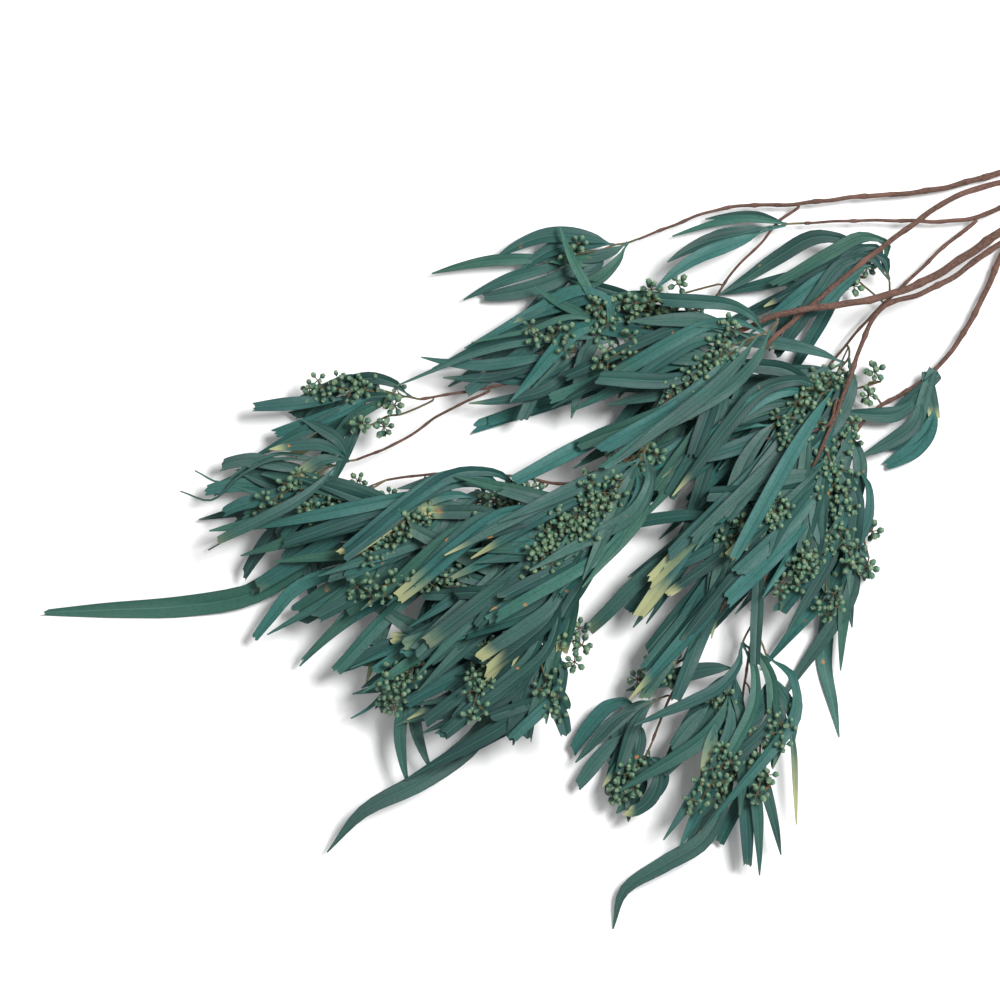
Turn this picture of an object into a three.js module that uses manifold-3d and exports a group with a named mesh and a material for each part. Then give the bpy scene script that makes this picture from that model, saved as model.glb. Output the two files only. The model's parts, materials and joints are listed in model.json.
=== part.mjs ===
// A bunch of dried, dyed eucalyptus lying flat: woody stems that meet at the cut ends,
// leafy sprays and clusters of seed capsules that fan out from them.
// Units are millimetres and +Z is up.
// The origin is under the middle of the bunch, on the surface it lies on.
import * as THREE from 'three';
import { mergeVertices } from 'three/addons/utils/BufferGeometryUtils.js';
import Module from 'manifold-3d';

const wasm = await Module();
wasm.setup();

// ---------------------------------------------------------------- driving dimensions

const BUNCH_LENGTH = 720;        // what the layout is spread over along X
const BUNCH_WIDTH = 530;         // and along Y
const STEM_DIAMETER = 5.4;       // a main stem at its cut end
const BRANCH_DIAMETER = 2.9;     // a side branch where it starts
const WOOD_TIP_DIAMETER = 1.7;   // any woody piece at its thin end
const TWIG_DIAMETER = 1.6;       // the green twig of a spray
const PETIOLE_DIAMETER = 1.2;    // where a leaf leaves its twig
const PETIOLE_LENGTH = 6;
const LEAF_WIDTH = 11;           // a full leaf at its widest
const LEAF_THICKNESS = 0.8;      // over the midrib
const LEAF_TIP_WIDTH = 0.9;      // the end of a leaf that comes to a point
const CAPSULE_DIAMETER = 5.2;    // a seed capsule at its widest
const CAPSULE_RIM_DIAMETER = 3.6;
const CAPSULE_LENGTH = 5.6;
const STALK_LENGTH = 3.6;        // from the centre of an umbel to its capsules
const STALK_DIAMETER = 0.9;
const PEDUNCLE_LENGTH = 8;       // from the rachis to the centre of an umbel
const PEDUNCLE_DIAMETER = 1.3;
const CLEARANCE = 0.4;           // air between pieces that lie on each other
const JOIN_GAP = 0.3;            // air between a twig and the wood it grows from
const SHOULDER = 3.5;            // how far a side twig stands off its wood before it goes its own way

// How far the wood is held off the surface by its own foliage.
const STEM_LIFT = 13;
// How far a woody piece is domed at its ends, as a share of its radius.
const END_DOME = 0.15;
// Room for the two domes where a thinner piece goes on from a thicker one, as a share of their radii.
const END_ROOM = 0.35;
// Radius of the tightest bend, seen from the side, over whatever lies underneath.
const STEM_BEND_RADIUS = 2600;
const TWIG_BEND_RADIUS = 420;
const LEAF_BEND_RADIUS = 170;

// ---------------------------------------------------------------- layout helpers

// The layout below is drawn on a field of this size.
const LAYOUT_LENGTH = 720;
const LAYOUT_WIDTH = 530;

function plan([x, y]) {
  return new THREE.Vector2(x * BUNCH_LENGTH / LAYOUT_LENGTH, y * BUNCH_WIDTH / LAYOUT_WIDTH);
}

// A small seeded generator, so that every build gives the same bunch.
function makeRandom(seed) {
  let state = seed >>> 0;
  return function random(low, high) {
    state = (state * 1664525 + 1013904223) >>> 0;
    return low + (high - low) * (state / 4294967296);
  };
}

// A smooth plan-view line through points, read by the share of its length.
class Line {
  constructor(points) {
    const raised = points.map((point) => new THREE.Vector3(point.x, point.y, 0));
    this.curve = new THREE.CatmullRomCurve3(raised, false, 'centripetal');
    this.length = this.curve.getLength();
  }

  point(share) {
    const found = this.curve.getPointAt(share);
    return new THREE.Vector2(found.x, found.y);
  }

  direction(share) {
    const found = this.curve.getTangentAt(share);
    return new THREE.Vector2(found.x, found.y).normalize();
  }
}

function turned(direction, degrees) {
  return direction.clone().rotateAround(new THREE.Vector2(), THREE.MathUtils.degToRad(degrees));
}

function rightOf(direction) {
  return new THREE.Vector2(direction.y, -direction.x);
}

// ---------------------------------------------------------------- closed shells

// A shell is built from rings of points and closed by caps. Rings run anticlockwise
// for someone who looks back along the shell from its far end.
class Shell {
  constructor() {
    this.points = [];
    this.faces = [];
  }

  ring(points) {
    const first = this.points.length;
    this.points.push(...points);
    return points.map((_, index) => first + index);
  }

  face(a, b, c) {
    this.faces.push([a, b, c]);
  }

  bridge(near, far) {
    near.forEach((a, index) => {
      const next = (index + 1) % near.length;
      this.face(a, near[next], far[next]);
      this.face(a, far[next], far[index]);
    });
  }

  closeStart(ring, apex) {
    const [tip] = this.ring([apex]);
    ring.forEach((a, index) => this.face(tip, ring[(index + 1) % ring.length], a));
  }

  closeEnd(ring, apex) {
    const [tip] = this.ring([apex]);
    ring.forEach((a, index) => this.face(tip, a, ring[(index + 1) % ring.length]));
  }

  geometry() {
    const geometry = new THREE.BufferGeometry();
    const flat = this.points.flatMap((point) => [point.x, point.y, point.z]);
    geometry.setAttribute('position', new THREE.Float32BufferAttribute(flat, 3));
    geometry.setIndex(this.faces.flat());
    return geometry;
  }
}

const UP = new THREE.Vector3(0, 0, 1);

function frameAt(tangent) {
  const steep = Math.abs(tangent.z) > 0.95;
  const guide = steep ? new THREE.Vector3(1, 0, 0) : UP;
  const right = new THREE.Vector3().crossVectors(tangent, guide).normalize();
  const up = new THREE.Vector3().crossVectors(right, tangent).normalize();
  return { right, up };
}

function roundRing(centre, tangent, radius, sides) {
  const { right, up } = frameAt(tangent);
  return Array.from({ length: sides }, (_, index) => {
    const angle = index / sides * Math.PI * 2;
    return centre.clone()
      .addScaledVector(up, radius * Math.cos(angle))
      .addScaledVector(right, radius * Math.sin(angle));
  });
}

function tangentsOf(centres) {
  return centres.map((_, index) => {
    const before = centres[Math.max(index - 1, 0)];
    const after = centres[Math.min(index + 1, centres.length - 1)];
    return after.clone().sub(before).normalize();
  });
}

// A closed tube through centres, with a radius for each, and slightly domed ends.
function tubeShell(centres, radii, sides) {
  const shell = new Shell();
  const tangents = tangentsOf(centres);
  const rings = centres.map((centre, index) => {
    return shell.ring(roundRing(centre, tangents[index], radii[index], sides));
  });
  for (let index = 0; index + 1 < rings.length; index += 1) {
    shell.bridge(rings[index], rings[index + 1]);
  }
  const last = centres.length - 1;
  shell.closeStart(rings[0], centres[0].clone().addScaledVector(tangents[0], -END_DOME * radii[0]));
  shell.closeEnd(rings[last], centres[last].clone().addScaledVector(tangents[last], END_DOME * radii[last]));
  return shell;
}

// ---------------------------------------------------------------- the pile

// The pile knows how high the pieces reach over each small square of the surface.
const SQUARE = 1;
const FIELD = 1300;
const ACROSS = Math.ceil(FIELD / SQUARE);
const heights = new Float32Array(ACROSS * ACROSS);

function squareAt(value) {
  return Math.floor((value + FIELD / 2) / SQUARE);
}

function heightAt(x, y) {
  return heights[squareAt(y) * ACROSS + squareAt(x)];
}

function raiseAround(x, y, z) {
  const column = squareAt(x);
  const row = squareAt(y);
  for (let i = row - 1; i <= row + 1; i += 1) {
    for (let j = column - 1; j <= column + 1; j += 1) {
      const index = i * ACROSS + j;
      heights[index] = Math.max(heights[index], z);
    }
  }
}

function coverTriangle(a, b, c) {
  const longest = Math.max(a.distanceTo(b), b.distanceTo(c), c.distanceTo(a));
  const steps = Math.max(1, Math.ceil(longest / (SQUARE * 0.8)));
  for (let i = 0; i <= steps; i += 1) {
    for (let j = 0; j <= steps - i; j += 1) {
      const u = i / steps;
      const v = j / steps;
      const w = 1 - u - v;
      const x = a.x * w + b.x * u + c.x * v;
      const y = a.y * w + b.y * u + c.y * v;
      const z = a.z * w + b.z * u + c.z * v;
      raiseAround(x, y, z);
    }
  }
}

function coverFaces(shell) {
  shell.faces.forEach((face) => {
    coverTriangle(...face.map((index) => shell.points[index]));
  });
}

// ---------------------------------------------------------------- laying a strip on the pile

// A strip is a row of stations. Each has its plan centre, the half width to either side and the
// tilt of its underside. This gives each station's height so that the strip, straight between
// stations, clears the pile, never bends tighter than the given radius, and otherwise follows
// its free shape.
function layStrip(stations, bendRadius, freeHeight, skip) {
  const samples = [];
  let along = 0;
  for (let index = 0; index + 1 < stations.length; index += 1) {
    const near = stations[index];
    const far = stations[index + 1];
    const span = near.centre.distanceTo(far.centre);
    const steps = Math.max(2, Math.ceil(span / SQUARE));
    for (let step = 0; step <= steps; step += 1) {
      const share = step / steps;
      samples.push({ index, share, along: along + span * share, need: needAt(near, far, share) });
    }
    near.along = along;
    along += span;
  }
  stations[stations.length - 1].along = along;
  samples.forEach((sample) => {
    if (sample.along < skip) {
      sample.need = 0;
    }
  });
  const floorAt = (place) => samples.reduce((best, other) => {
    const away = place - other.along;
    return Math.max(best, other.need - away * away / (2 * bendRadius));
  }, freeHeight(place));
  samples.forEach((sample) => {
    sample.floor = floorAt(sample.along);
  });
  const result = stations.map((station) => floorAt(station.along));
  for (let pass = 0; pass < 4; pass += 1) {
    for (let index = 0; index + 1 < stations.length; index += 1) {
      samples.filter((sample) => sample.index === index).forEach((sample) => {
        const near = 1 - sample.share;
        const far = sample.share;
        const short = sample.floor - result[index] * near - result[index + 1] * far;
        if (short > 0) {
          result[index] += short * near / (near * near + far * far);
          result[index + 1] += short * far / (near * near + far * far);
        }
      });
    }
  }
  return result;
}

// A station of something round, at a share of its line.
function roundStation(line, share, radius) {
  const side = rightOf(line.direction(share));
  return { centre: line.point(share), side, half: radius, rise: 0, below: radius };
}

function at3(point, height) {
  return new THREE.Vector3(point.x, point.y, height);
}

function needAt(near, far, share) {
  const centre = near.centre.clone().lerp(far.centre, share);
  const farSide = far.side.clone().multiplyScalar(far.half);
  const side = near.side.clone().multiplyScalar(near.half).lerp(farSide, share);
  const rise = near.rise * (1 - share) + far.rise * share;
  const below = near.below * (1 - share) + far.below * share;
  const steps = Math.max(2, Math.ceil(side.length() * 2 / SQUARE));
  let need = 0;
  for (let step = 0; step <= steps; step += 1) {
    const across = step / steps * 2 - 1;
    const x = centre.x + side.x * across;
    const y = centre.y + side.y * across;
    need = Math.max(need, heightAt(x, y) + CLEARANCE + below - rise * across);
  }
  return need;
}

// ---------------------------------------------------------------- materials

function finish(color, roughness) {
  return new THREE.MeshStandardMaterial({ color, roughness, metalness: 0 });
}

const bark = () => finish(0x6b4636, 0.85);
const leafGreen = () => finish(0x2f7068, 0.6);
const capsuleGreen = () => finish(0x6f9a80, 0.6);

// ---------------------------------------------------------------- wood

const WOOD_RING_SPACING = 26;    // along a stem or branch
const WOOD_TAPER = 0.8;          // below 1, a stem thins faster near its thick end
const BUD_REACH = 5;             // from its wood to where a side piece starts to lie on the pile

const bunch = new THREE.Group();
const placed = {};

function addPiece(name, geometry, material) {
  const mesh = new THREE.Mesh(geometry, material);
  mesh.name = name;
  bunch.add(mesh);
}

// Where something grows from a piece of wood: its place, height and direction there.
function jointOn(wood, share) {
  const index = share * (wood.centres.length - 1);
  const low = Math.min(Math.floor(index), wood.centres.length - 2);
  const centre = wood.centres[low].clone().lerp(wood.centres[low + 1], index - low);
  const radius = THREE.MathUtils.lerp(wood.radii[low], wood.radii[low + 1], index - low);
  const direction = wood.centres[low + 1].clone().sub(wood.centres[low]);
  return { centre, radius, direction: new THREE.Vector2(direction.x, direction.y).normalize() };
}

// Where a side piece starts: beside the wood it grows from and then a little out from it,
// or straight off the end of the wood.
function budOn(wood, share, heading, radius) {
  const joint = jointOn(wood, share);
  const base = new THREE.Vector2(joint.centre.x, joint.centre.y);
  const off = radius + joint.radius + JOIN_GAP;
  if (share >= 1) {
    const end = base.addScaledVector(joint.direction, JOIN_GAP + END_ROOM * (joint.radius + radius));
    return { points: [end], height: joint.centre.z };
  }
  const outward = rightOf(joint.direction);
  outward.multiplyScalar(Math.sign(outward.dot(heading)) || 1);
  const onward = joint.direction.clone().multiplyScalar(Math.sign(joint.direction.dot(heading)) || 1);
  const bud = base.addScaledVector(outward, off);
  const shoulder = bud.clone().addScaledVector(outward, SHOULDER).addScaledVector(onward, SHOULDER);
  return { points: [bud, shoulder], height: joint.centre.z };
}

function makeWood(spec) {
  const points = spec.points.map((point) => point.clone());
  let height = null;
  if (spec.on) {
    const heading = points[0].clone().sub(jointPlan(placed[spec.on], spec.at));
    const bud = budOn(placed[spec.on], spec.at, heading, spec.diameter / 2);
    points.unshift(bud.points[0]);
    height = bud.height;
  }
  const line = new Line(points);
  const count = Math.max(5, Math.round(line.length / WOOD_RING_SPACING));
  const radii = [];
  const stations = [];
  for (let index = 0; index <= count; index += 1) {
    const share = index / count;
    const radius = THREE.MathUtils.lerp(spec.diameter, WOOD_TIP_DIAMETER, Math.pow(share, WOOD_TAPER)) / 2;
    radii.push(radius);
    stations.push(roundStation(line, share, radius));
  }
  const start = height ?? (spec.endHeight ?? 0);
  const lift = spec.lift ?? STEM_LIFT;
  const free = (along) => {
    const share = along / line.length;
    const eased = THREE.MathUtils.smoothstep(share, 0, 0.5);
    return THREE.MathUtils.lerp(start, lift, eased);
  };
  const bend = spec.on ? TWIG_BEND_RADIUS * 2 : STEM_BEND_RADIUS;
  const found = layStrip(stations, bend, free, spec.on ? BUD_REACH : 0);
  if (height !== null) {
    found[0] = height;
  }
  const centres = stations.map((station, index) => at3(station.centre, found[index]));
  placed[spec.name] = { centres, radii, line };
  const shell = tubeShell(centres, radii, 6);
  addPiece(spec.name, shell.geometry(), bark());
  coverFaces(shell);
}

function jointPlan(wood, share) {
  const joint = jointOn(wood, share);
  return new THREE.Vector2(joint.centre.x, joint.centre.y);
}

// ---------------------------------------------------------------- leafy sprays

const NODE_SHARE = 0.5;          // how much of the way to the next leaf a leaf grows from
const LAYER_STEP = 1.05;         // how much higher each leaf of a spray lies than the one beyond it
const NODE_SPACING = 3.6;        // from one leaf to the next along a twig, at the least
const LAYER_EASE = [3, 22];      // where along a leaf that height is reached
const PETIOLE_MARGIN = 2;        // past its petiole, a leaf lies on the pile
const BLADE_STATIONS = [0.12, 0.32, 0.55, 0.79, 1];

// Width of a sickle-shaped blade by the share of its length, and how much of it is left
// where the end has broken off.
function bladeShare(share, kept) {
  const whole = Math.pow(share * kept, 0.78);
  return Math.pow(Math.sin(Math.PI * Math.min(whole, 1)), 0.75);
}

// One leaf grows out of three points of the twig, already in the shell.
function growLeaf(shell, root, leaf, base, height, layer) {
  const line = new Line([base, ...leaf.points]);
  const petiole = Math.min(PETIOLE_LENGTH, line.length * 0.2);
  const shares = [petiole / line.length];
  BLADE_STATIONS.forEach((step) => shares.push((petiole + (line.length - petiole) * step) / line.length));
  const stations = [{ ...roundStation(line, 0, PETIOLE_DIAMETER / 2), below: 0 }];
  shares.forEach((share, index) => {
    const blade = index === 0 ? 0 : BLADE_STATIONS[index - 1];
    const isPetiole = index === 0;
    const bladeWidth = Math.max(LEAF_TIP_WIDTH, leaf.width * bladeShare(blade, leaf.kept));
    const half = (isPetiole ? PETIOLE_DIAMETER : bladeWidth) / 2;
    const tilt = isPetiole ? 0 : THREE.MathUtils.degToRad(leaf.tilt + leaf.twist * blade);
    const station = roundStation(line, share, half * Math.cos(tilt));
    stations.push({ ...station, rise: half * Math.sin(tilt), below: 0 });
  });
  const free = (along) => height + leaf.rise * along - along * along / (2 * leaf.droop);
  const found = layStrip(stations, LEAF_BEND_RADIUS, free, petiole + PETIOLE_MARGIN);
  let ring = root;
  stations.slice(1).forEach((station, index) => {
    const lifted = layer * THREE.MathUtils.smoothstep(station.along, ...LAYER_EASE);
    const centre = at3(station.centre, found[index + 1] + lifted);
    const right = at3(station.side.clone().multiplyScalar(station.half), station.rise);
    const across = right.length();
    const thick = Math.min(LEAF_THICKNESS, across * 1.3);
    const forward = new THREE.Vector3(-station.side.y, station.side.x, 0);
    const up = new THREE.Vector3().crossVectors(right, forward).normalize();
    const next = shell.ring([
      centre.clone().addScaledVector(up, thick),
      centre.clone().add(right),
      centre.clone().sub(right),
    ]);
    shell.bridge(ring, next);
    ring = next;
  });
  shell.face(...ring);
}

// The twig has a three-sided section; leaves grow from its left and right faces and its end.
function makeSpray(spec) {
  const random = makeRandom(spec.seed);
  const points = spec.points.map((point) => point.clone());
  const radius = TWIG_DIAMETER / 2;
  const wood = placed[spec.on];
  const heading = points[0].clone().sub(jointPlan(wood, spec.at));
  const bud = budOn(wood, spec.at, heading, radius);
  points.unshift(...bud.points);
  const line = new Line(points);
  const leaves = [...spec.leaves, ...fanLeaves(line, spec.extra, random)];
  leaves.sort((one, other) => one.at - other.at);
  const sideLeaves = leaves.filter((leaf) => leaf.at < 1);
  const spacing = Math.min(NODE_SPACING, line.length / (sideLeaves.length + 1)) / line.length;
  spaceNodes(sideLeaves, spacing);
  const nodes = sideLeaves.map((leaf) => leaf.at);
  const shares = [0];
  nodes.forEach((node) => shares.push(node, node + spacing * NODE_SHARE));
  shares.push(1);
  const stations = shares.map((share) => roundStation(line, Math.min(share, 1), radius));
  const free = (along) => bud.height + spec.rise * along - along * along / (2 * spec.droop);
  const found = layStrip(stations, TWIG_BEND_RADIUS, free, BUD_REACH);
  found[0] = bud.height;
  const centres = stations.map((station, index) => at3(station.centre, found[index]));
  const tangents = tangentsOf(centres);
  const shell = new Shell();
  const rings = centres.map((centre, index) => shell.ring(roundRing(centre, tangents[index], radius, 3)));
  shell.closeStart(rings[0], centres[0].clone().addScaledVector(tangents[0], -END_DOME * radius));

  // From the far end back to the base, so that each leaf lies over those beyond it.
  const last = rings.length - 1;
  let layer = 0;
  const growHere = (leaf, root, ring) => {
    const start = centres[ring];
    growLeaf(shell, root, dressLeaf(leaf, random), new THREE.Vector2(start.x, start.y), start.z, layer);
    layer += LAYER_STEP;
  };
  const terminal = leaves.find((leaf) => leaf.at === 1);
  if (terminal) {
    growHere(terminal, rings[last], last);
  } else {
    shell.closeEnd(rings[last], centres[last].clone().addScaledVector(tangents[last], END_DOME * radius));
  }
  for (let index = last - 1; index >= 0; index -= 1) {
    const near = rings[index];
    const far = rings[index + 1];
    const isNode = index % 2 === 1;
    const here = isNode ? leaves.filter((leaf) => leaf.at === nodes[(index - 1) / 2]) : [];
    const rightLeaf = here.find((leaf) => leafSide(leaf, line) > 0);
    const leftLeaf = here.find((leaf) => leafSide(leaf, line) <= 0);
    shell.face(near[0], far[1], far[0]);
    shell.face(near[1], near[2], far[2]);
    shell.face(near[1], far[2], far[1]);
    shell.face(near[2], near[0], far[0]);
    if (!rightLeaf) {
      shell.face(near[0], near[1], far[1]);
    }
    if (!leftLeaf) {
      shell.face(near[2], far[0], far[2]);
    }
    if (rightLeaf) {
      growHere(rightLeaf, [near[0], near[1], far[1]], index);
    }
    if (leftLeaf) {
      growHere(leftLeaf, [far[0], far[2], near[2]], index);
    }
  }
  coverFaces(shell);
  addPiece(spec.name, shell.geometry(), leafGreen());
}

// Move leaves along their twig until each has room to grow from it.
function spaceNodes(leaves, spacing) {
  leaves.forEach((leaf, index) => {
    const before = index === 0 ? 0 : leaves[index - 1].at;
    leaf.at = Math.max(leaf.at, before + spacing);
  });
  [...leaves].reverse().forEach((leaf, index, all) => {
    const after = index === 0 ? 1 : all[index - 1].at;
    leaf.at = Math.min(leaf.at, after - spacing);
  });
}

// Leaves that follow the sweep of the whole bunch, to either side of a twig in turn.
const FAN_LEAVES = {
  from: 0.08,            // shares of the twig between which they grow
  to: 0.88,
  leaving: [24, 38],     // degrees to the side of the twig
  heading: [2, 16],      // degrees to the side of the sweep
  length: [78, 128],
  middle: 0.3,           // how far a leaf goes the way that it left, as shares of its length
  drift: 0.12,
  broken: 0.45,          // how many have lost their ends
  kept: [0.6, 0.8],      // and how much of those is left
};

function fanLeaves(line, count, random) {
  return Array.from({ length: count }, (_, index) => {
    const at = THREE.MathUtils.lerp(FAN_LEAVES.from, FAN_LEAVES.to, (index + 0.5) / count);
    const side = index % 2 === 0 ? 1 : -1;
    const base = line.point(at);
    const leaving = turned(line.direction(at), side * random(...FAN_LEAVES.leaving));
    const heading = turned(fanDirection(base), side * random(...FAN_LEAVES.heading));
    const length = keptInside(base, heading, random(...FAN_LEAVES.length));
    const middle = base.clone().addScaledVector(leaving, length * FAN_LEAVES.middle);
    const tip = base.clone().addScaledVector(heading, length);
    tip.addScaledVector(leaving, length * FAN_LEAVES.drift);
    const kept = random(0, 1) < FAN_LEAVES.broken ? random(...FAN_LEAVES.kept) : 1;
    return { at, kept, points: [middle, tip] };
  });
}

function leafSide(leaf, line) {
  const node = line.point(leaf.at);
  return rightOf(line.direction(leaf.at)).dot(leaf.points[0].clone().sub(node));
}

// Fill in what a leaf leaves to chance.
function dressLeaf(leaf, random) {
  return {
    width: LEAF_WIDTH * random(0.72, 1.05),
    kept: 1,
    tilt: random(-14, 14),
    twist: random(-16, 16),
    rise: random(-0.05, 0.2),
    droop: random(180, 320),
    ...leaf,
  };
}

// ---------------------------------------------------------------- capsule clusters

function asManifold(geometry) {
  const bare = geometry.clone();
  bare.deleteAttribute('normal');
  bare.deleteAttribute('uv');
  const merged = mergeVertices(bare, 1e-4);
  const vertProperties = new Float32Array(merged.getAttribute('position').array);
  const triVerts = new Uint32Array(merged.getIndex().array);
  return new wasm.Manifold(new wasm.Mesh({ numProp: 3, vertProperties, triVerts }));
}

function fromManifold(solid) {
  const mesh = solid.getMesh();
  const geometry = new THREE.BufferGeometry();
  geometry.setAttribute('position', new THREE.Float32BufferAttribute(mesh.vertProperties, 3));
  geometry.setIndex(Array.from(mesh.triVerts));
  return geometry;
}

const CAPSULE_SIDES = 4;
const UMBEL_FLATNESS = 0.6;      // an umbel pressed flat by drying
const UMBEL_REACH = 0.95;        // 1 spreads its capsules over half a ball
const UMBEL_ONWARD = 0.35;       // 0 sets an umbel square to its rachis, 1 along it
const UMBEL_RISE = [0.25, 0.7];  // the slope at which it stands up
const RACHIS_BARE = 0.3;         // the share of a rachis before its first umbel
const GOLDEN_ANGLE = 2.399963;

// An urn on its stalk: widest at mid height, with a narrower rim and a low dome.
function capsuleGeometry(centre, axis) {
  const profile = [
    [0, 0],
    [STALK_DIAMETER / 2, STALK_LENGTH],
    [CAPSULE_DIAMETER / 2, STALK_LENGTH + CAPSULE_LENGTH * 0.5],
    [CAPSULE_RIM_DIAMETER / 2, STALK_LENGTH + CAPSULE_LENGTH * 0.94],
    [0, STALK_LENGTH + CAPSULE_LENGTH],
  ].map(([radius, height]) => new THREE.Vector2(radius, height));
  const geometry = new THREE.LatheGeometry(profile, CAPSULE_SIDES);
  const turn = new THREE.Quaternion().setFromUnitVectors(new THREE.Vector3(0, 1, 0), axis);
  geometry.applyQuaternion(turn);
  geometry.translate(centre.x, centre.y, centre.z);
  return geometry;
}

// Directions spread evenly over the outer half of a ball that faces the given way.
function umbelAxes(outward, count, spin) {
  const turn = new THREE.Quaternion().setFromUnitVectors(UP, outward);
  return Array.from({ length: count }, (_, index) => {
    const height = 1 - (index + 0.4) / count * UMBEL_REACH;
    const angle = index * GOLDEN_ANGLE + spin;
    const flat = Math.sqrt(1 - height * height);
    const axis = new THREE.Vector3(flat * Math.cos(angle), flat * Math.sin(angle), height);
    axis.applyQuaternion(turn);
    axis.z *= UMBEL_FLATNESS;
    return axis.normalize();
  });
}

// The lowest that an umbel can hang for one straight, round piece of it to clear the pile.
function umbelNeed(start, axis, from, to, radius) {
  let need = 0;
  for (let step = 0; step <= 6; step += 1) {
    const spot = start.clone().addScaledVector(axis, THREE.MathUtils.lerp(from, to, step / 6));
    for (let angle = 0; angle < 6; angle += 1) {
      const x = spot.x + radius * Math.cos(angle * Math.PI / 3);
      const y = spot.y + radius * Math.sin(angle * Math.PI / 3);
      need = Math.max(need, heightAt(x, y) + CLEARANCE + radius - spot.z);
    }
  }
  return need;
}

function makeCluster(spec) {
  const random = makeRandom(spec.seed);
  const points = spec.points.map((point) => point.clone());
  const radius = TWIG_DIAMETER / 2;
  const wood = placed[spec.on];
  const heading = points[0].clone().sub(jointPlan(wood, spec.at));
  const bud = budOn(wood, spec.at, heading, radius);
  points.unshift(...bud.points);
  const line = new Line(points);
  const count = spec.umbels;
  const shares = Array.from({ length: count }, (_, index) => {
    return THREE.MathUtils.lerp(RACHIS_BARE, 1, (index + 1) / count);
  });
  const umbels = shares.map((share, index) => {
    const end = index === count - 1;
    const side = rightOf(line.direction(share)).multiplyScalar(index % 2 === 0 ? 1 : -1);
    const flat = end ? line.direction(share) : side.lerp(line.direction(share), UMBEL_ONWARD).normalize();
    const outward = at3(flat, random(...UMBEL_RISE)).normalize();
    return { share, outward, axes: umbelAxes(outward, spec.capsules, random(0, 6)) };
  });
  const stations = [0, ...shares].map((share) => roundStation(line, share, radius));
  const free = (along) => bud.height + spec.rise * along - along * along / (2 * spec.droop);
  const found = layStrip(stations, TWIG_BEND_RADIUS, free, BUD_REACH);
  found[0] = bud.height;
  umbels.forEach((umbel, index) => {
    const rachis = line.point(umbel.share);
    const root = new THREE.Vector3(rachis.x, rachis.y, 0);
    const middle = root.clone().addScaledVector(umbel.outward, PEDUNCLE_LENGTH);
    const capsuleEnd = STALK_LENGTH + CAPSULE_LENGTH;
    const needs = [umbelNeed(root, umbel.outward, 0, PEDUNCLE_LENGTH, radius)];
    umbel.axes.forEach((axis) => {
      needs.push(umbelNeed(middle, axis, 0, STALK_LENGTH, STALK_DIAMETER));
      needs.push(umbelNeed(middle, axis, STALK_LENGTH, capsuleEnd, CAPSULE_DIAMETER / 2));
    });
    found[index + 1] = Math.max(found[index + 1], ...needs);
  });
  const centres = stations.map((station, index) => at3(station.centre, found[index]));
  let solid = asManifold(tubeShell(centres, centres.map(() => radius), 4).geometry());
  umbels.forEach((umbel, index) => {
    const root = centres[index + 1];
    const middle = root.clone().addScaledVector(umbel.outward, PEDUNCLE_LENGTH);
    const inside = root.clone().addScaledVector(umbel.outward, -radius);
    const peduncle = tubeShell([inside, middle], [PEDUNCLE_DIAMETER / 2, PEDUNCLE_DIAMETER / 2], 3);
    solid = solid.add(asManifold(peduncle.geometry()));
    umbel.axes.forEach((axis) => {
      solid = solid.add(asManifold(capsuleGeometry(middle, axis)));
    });
  });
  const geometry = fromManifold(solid);
  addPiece(spec.name, geometry, capsuleGreen());
  coverGeometry(geometry);
}

function coverGeometry(geometry) {
  const position = geometry.getAttribute('position');
  const index = geometry.getIndex().array;
  const corner = (which) => new THREE.Vector3().fromBufferAttribute(position, index[which]);
  for (let first = 0; first < index.length; first += 3) {
    coverTriangle(corner(first), corner(first + 1), corner(first + 2));
  }
}

// ---------------------------------------------------------------- the sweep of the bunch

// Everything fans out from where the stems are gathered.
const GATHER = plan([372, 214]);

function fanDirection(point) {
  return point.clone().sub(GATHER).normalize();
}

// The foliage, seen from above, stays inside this outline, apart from the leaves that are laid one by one.
const OUTLINE = [
  [-14, 147], [70, 178], [133, 185], [185, 150], [231, 172], [280, 140], [298, 105], [300, 56], [272, 16],
  [258, -48], [212, -66], [200, -110], [196, -200], [178, -245], [133, -240], [98, -212], [63, -192],
  [49, -150], [10, -164], [-21, -168], [-63, -189], [-76, -140], [-110, -119], [-150, -98], [-175, -52],
  [-200, -7], [-193, 24], [-160, 52], [-119, 77], [-56, 94], [-14, 108], [28, 133],
].map(plan);

function isInside(point) {
  let inside = false;
  OUTLINE.forEach((a, index) => {
    const b = OUTLINE[(index + 1) % OUTLINE.length];
    const between = (a.y > point.y) !== (b.y > point.y);
    if (between && point.x < (b.x - a.x) * (point.y - a.y) / (b.y - a.y) + a.x) {
      inside = !inside;
    }
  });
  return inside;
}

const SHORTEST_LEAF = 35;

function keptInside(base, heading, length) {
  let kept = length;
  while (kept > SHORTEST_LEAF && !isInside(base.clone().addScaledVector(heading, kept))) {
    kept *= 0.9;
  }
  return kept;
}

// ---------------------------------------------------------------- how the bunch is written down

function wood(name, diameter, points, settings, grows = []) {
  return { kind: 'wood', name, diameter, points: points.map(plan), grows, ...settings };
}

function leaf(at, width, points, kept = 1) {
  return { at, width: width * LEAF_WIDTH, kept, points: points.map(plan) };
}

// A spray with leaves laid one by one, and some extra that follow the sweep.
function spray(name, at, points, leaves, extra = 3) {
  return { kind: 'spray', name, at, points: points.map(plan), leaves, extra, rise: 0.05, droop: 260 };
}

// A spray that follows the sweep, turned a little from it.
function sweepSpray(name, at, turn, length = 52, extra = 7) {
  return { kind: 'sweep', name, at, turn, length, extra };
}

function cluster(name, at, points, umbels = 3, capsules = 4) {
  return { kind: 'cluster', name, at, points: points.map(plan), umbels, capsules, rise: 0.12, droop: 260 };
}

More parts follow.
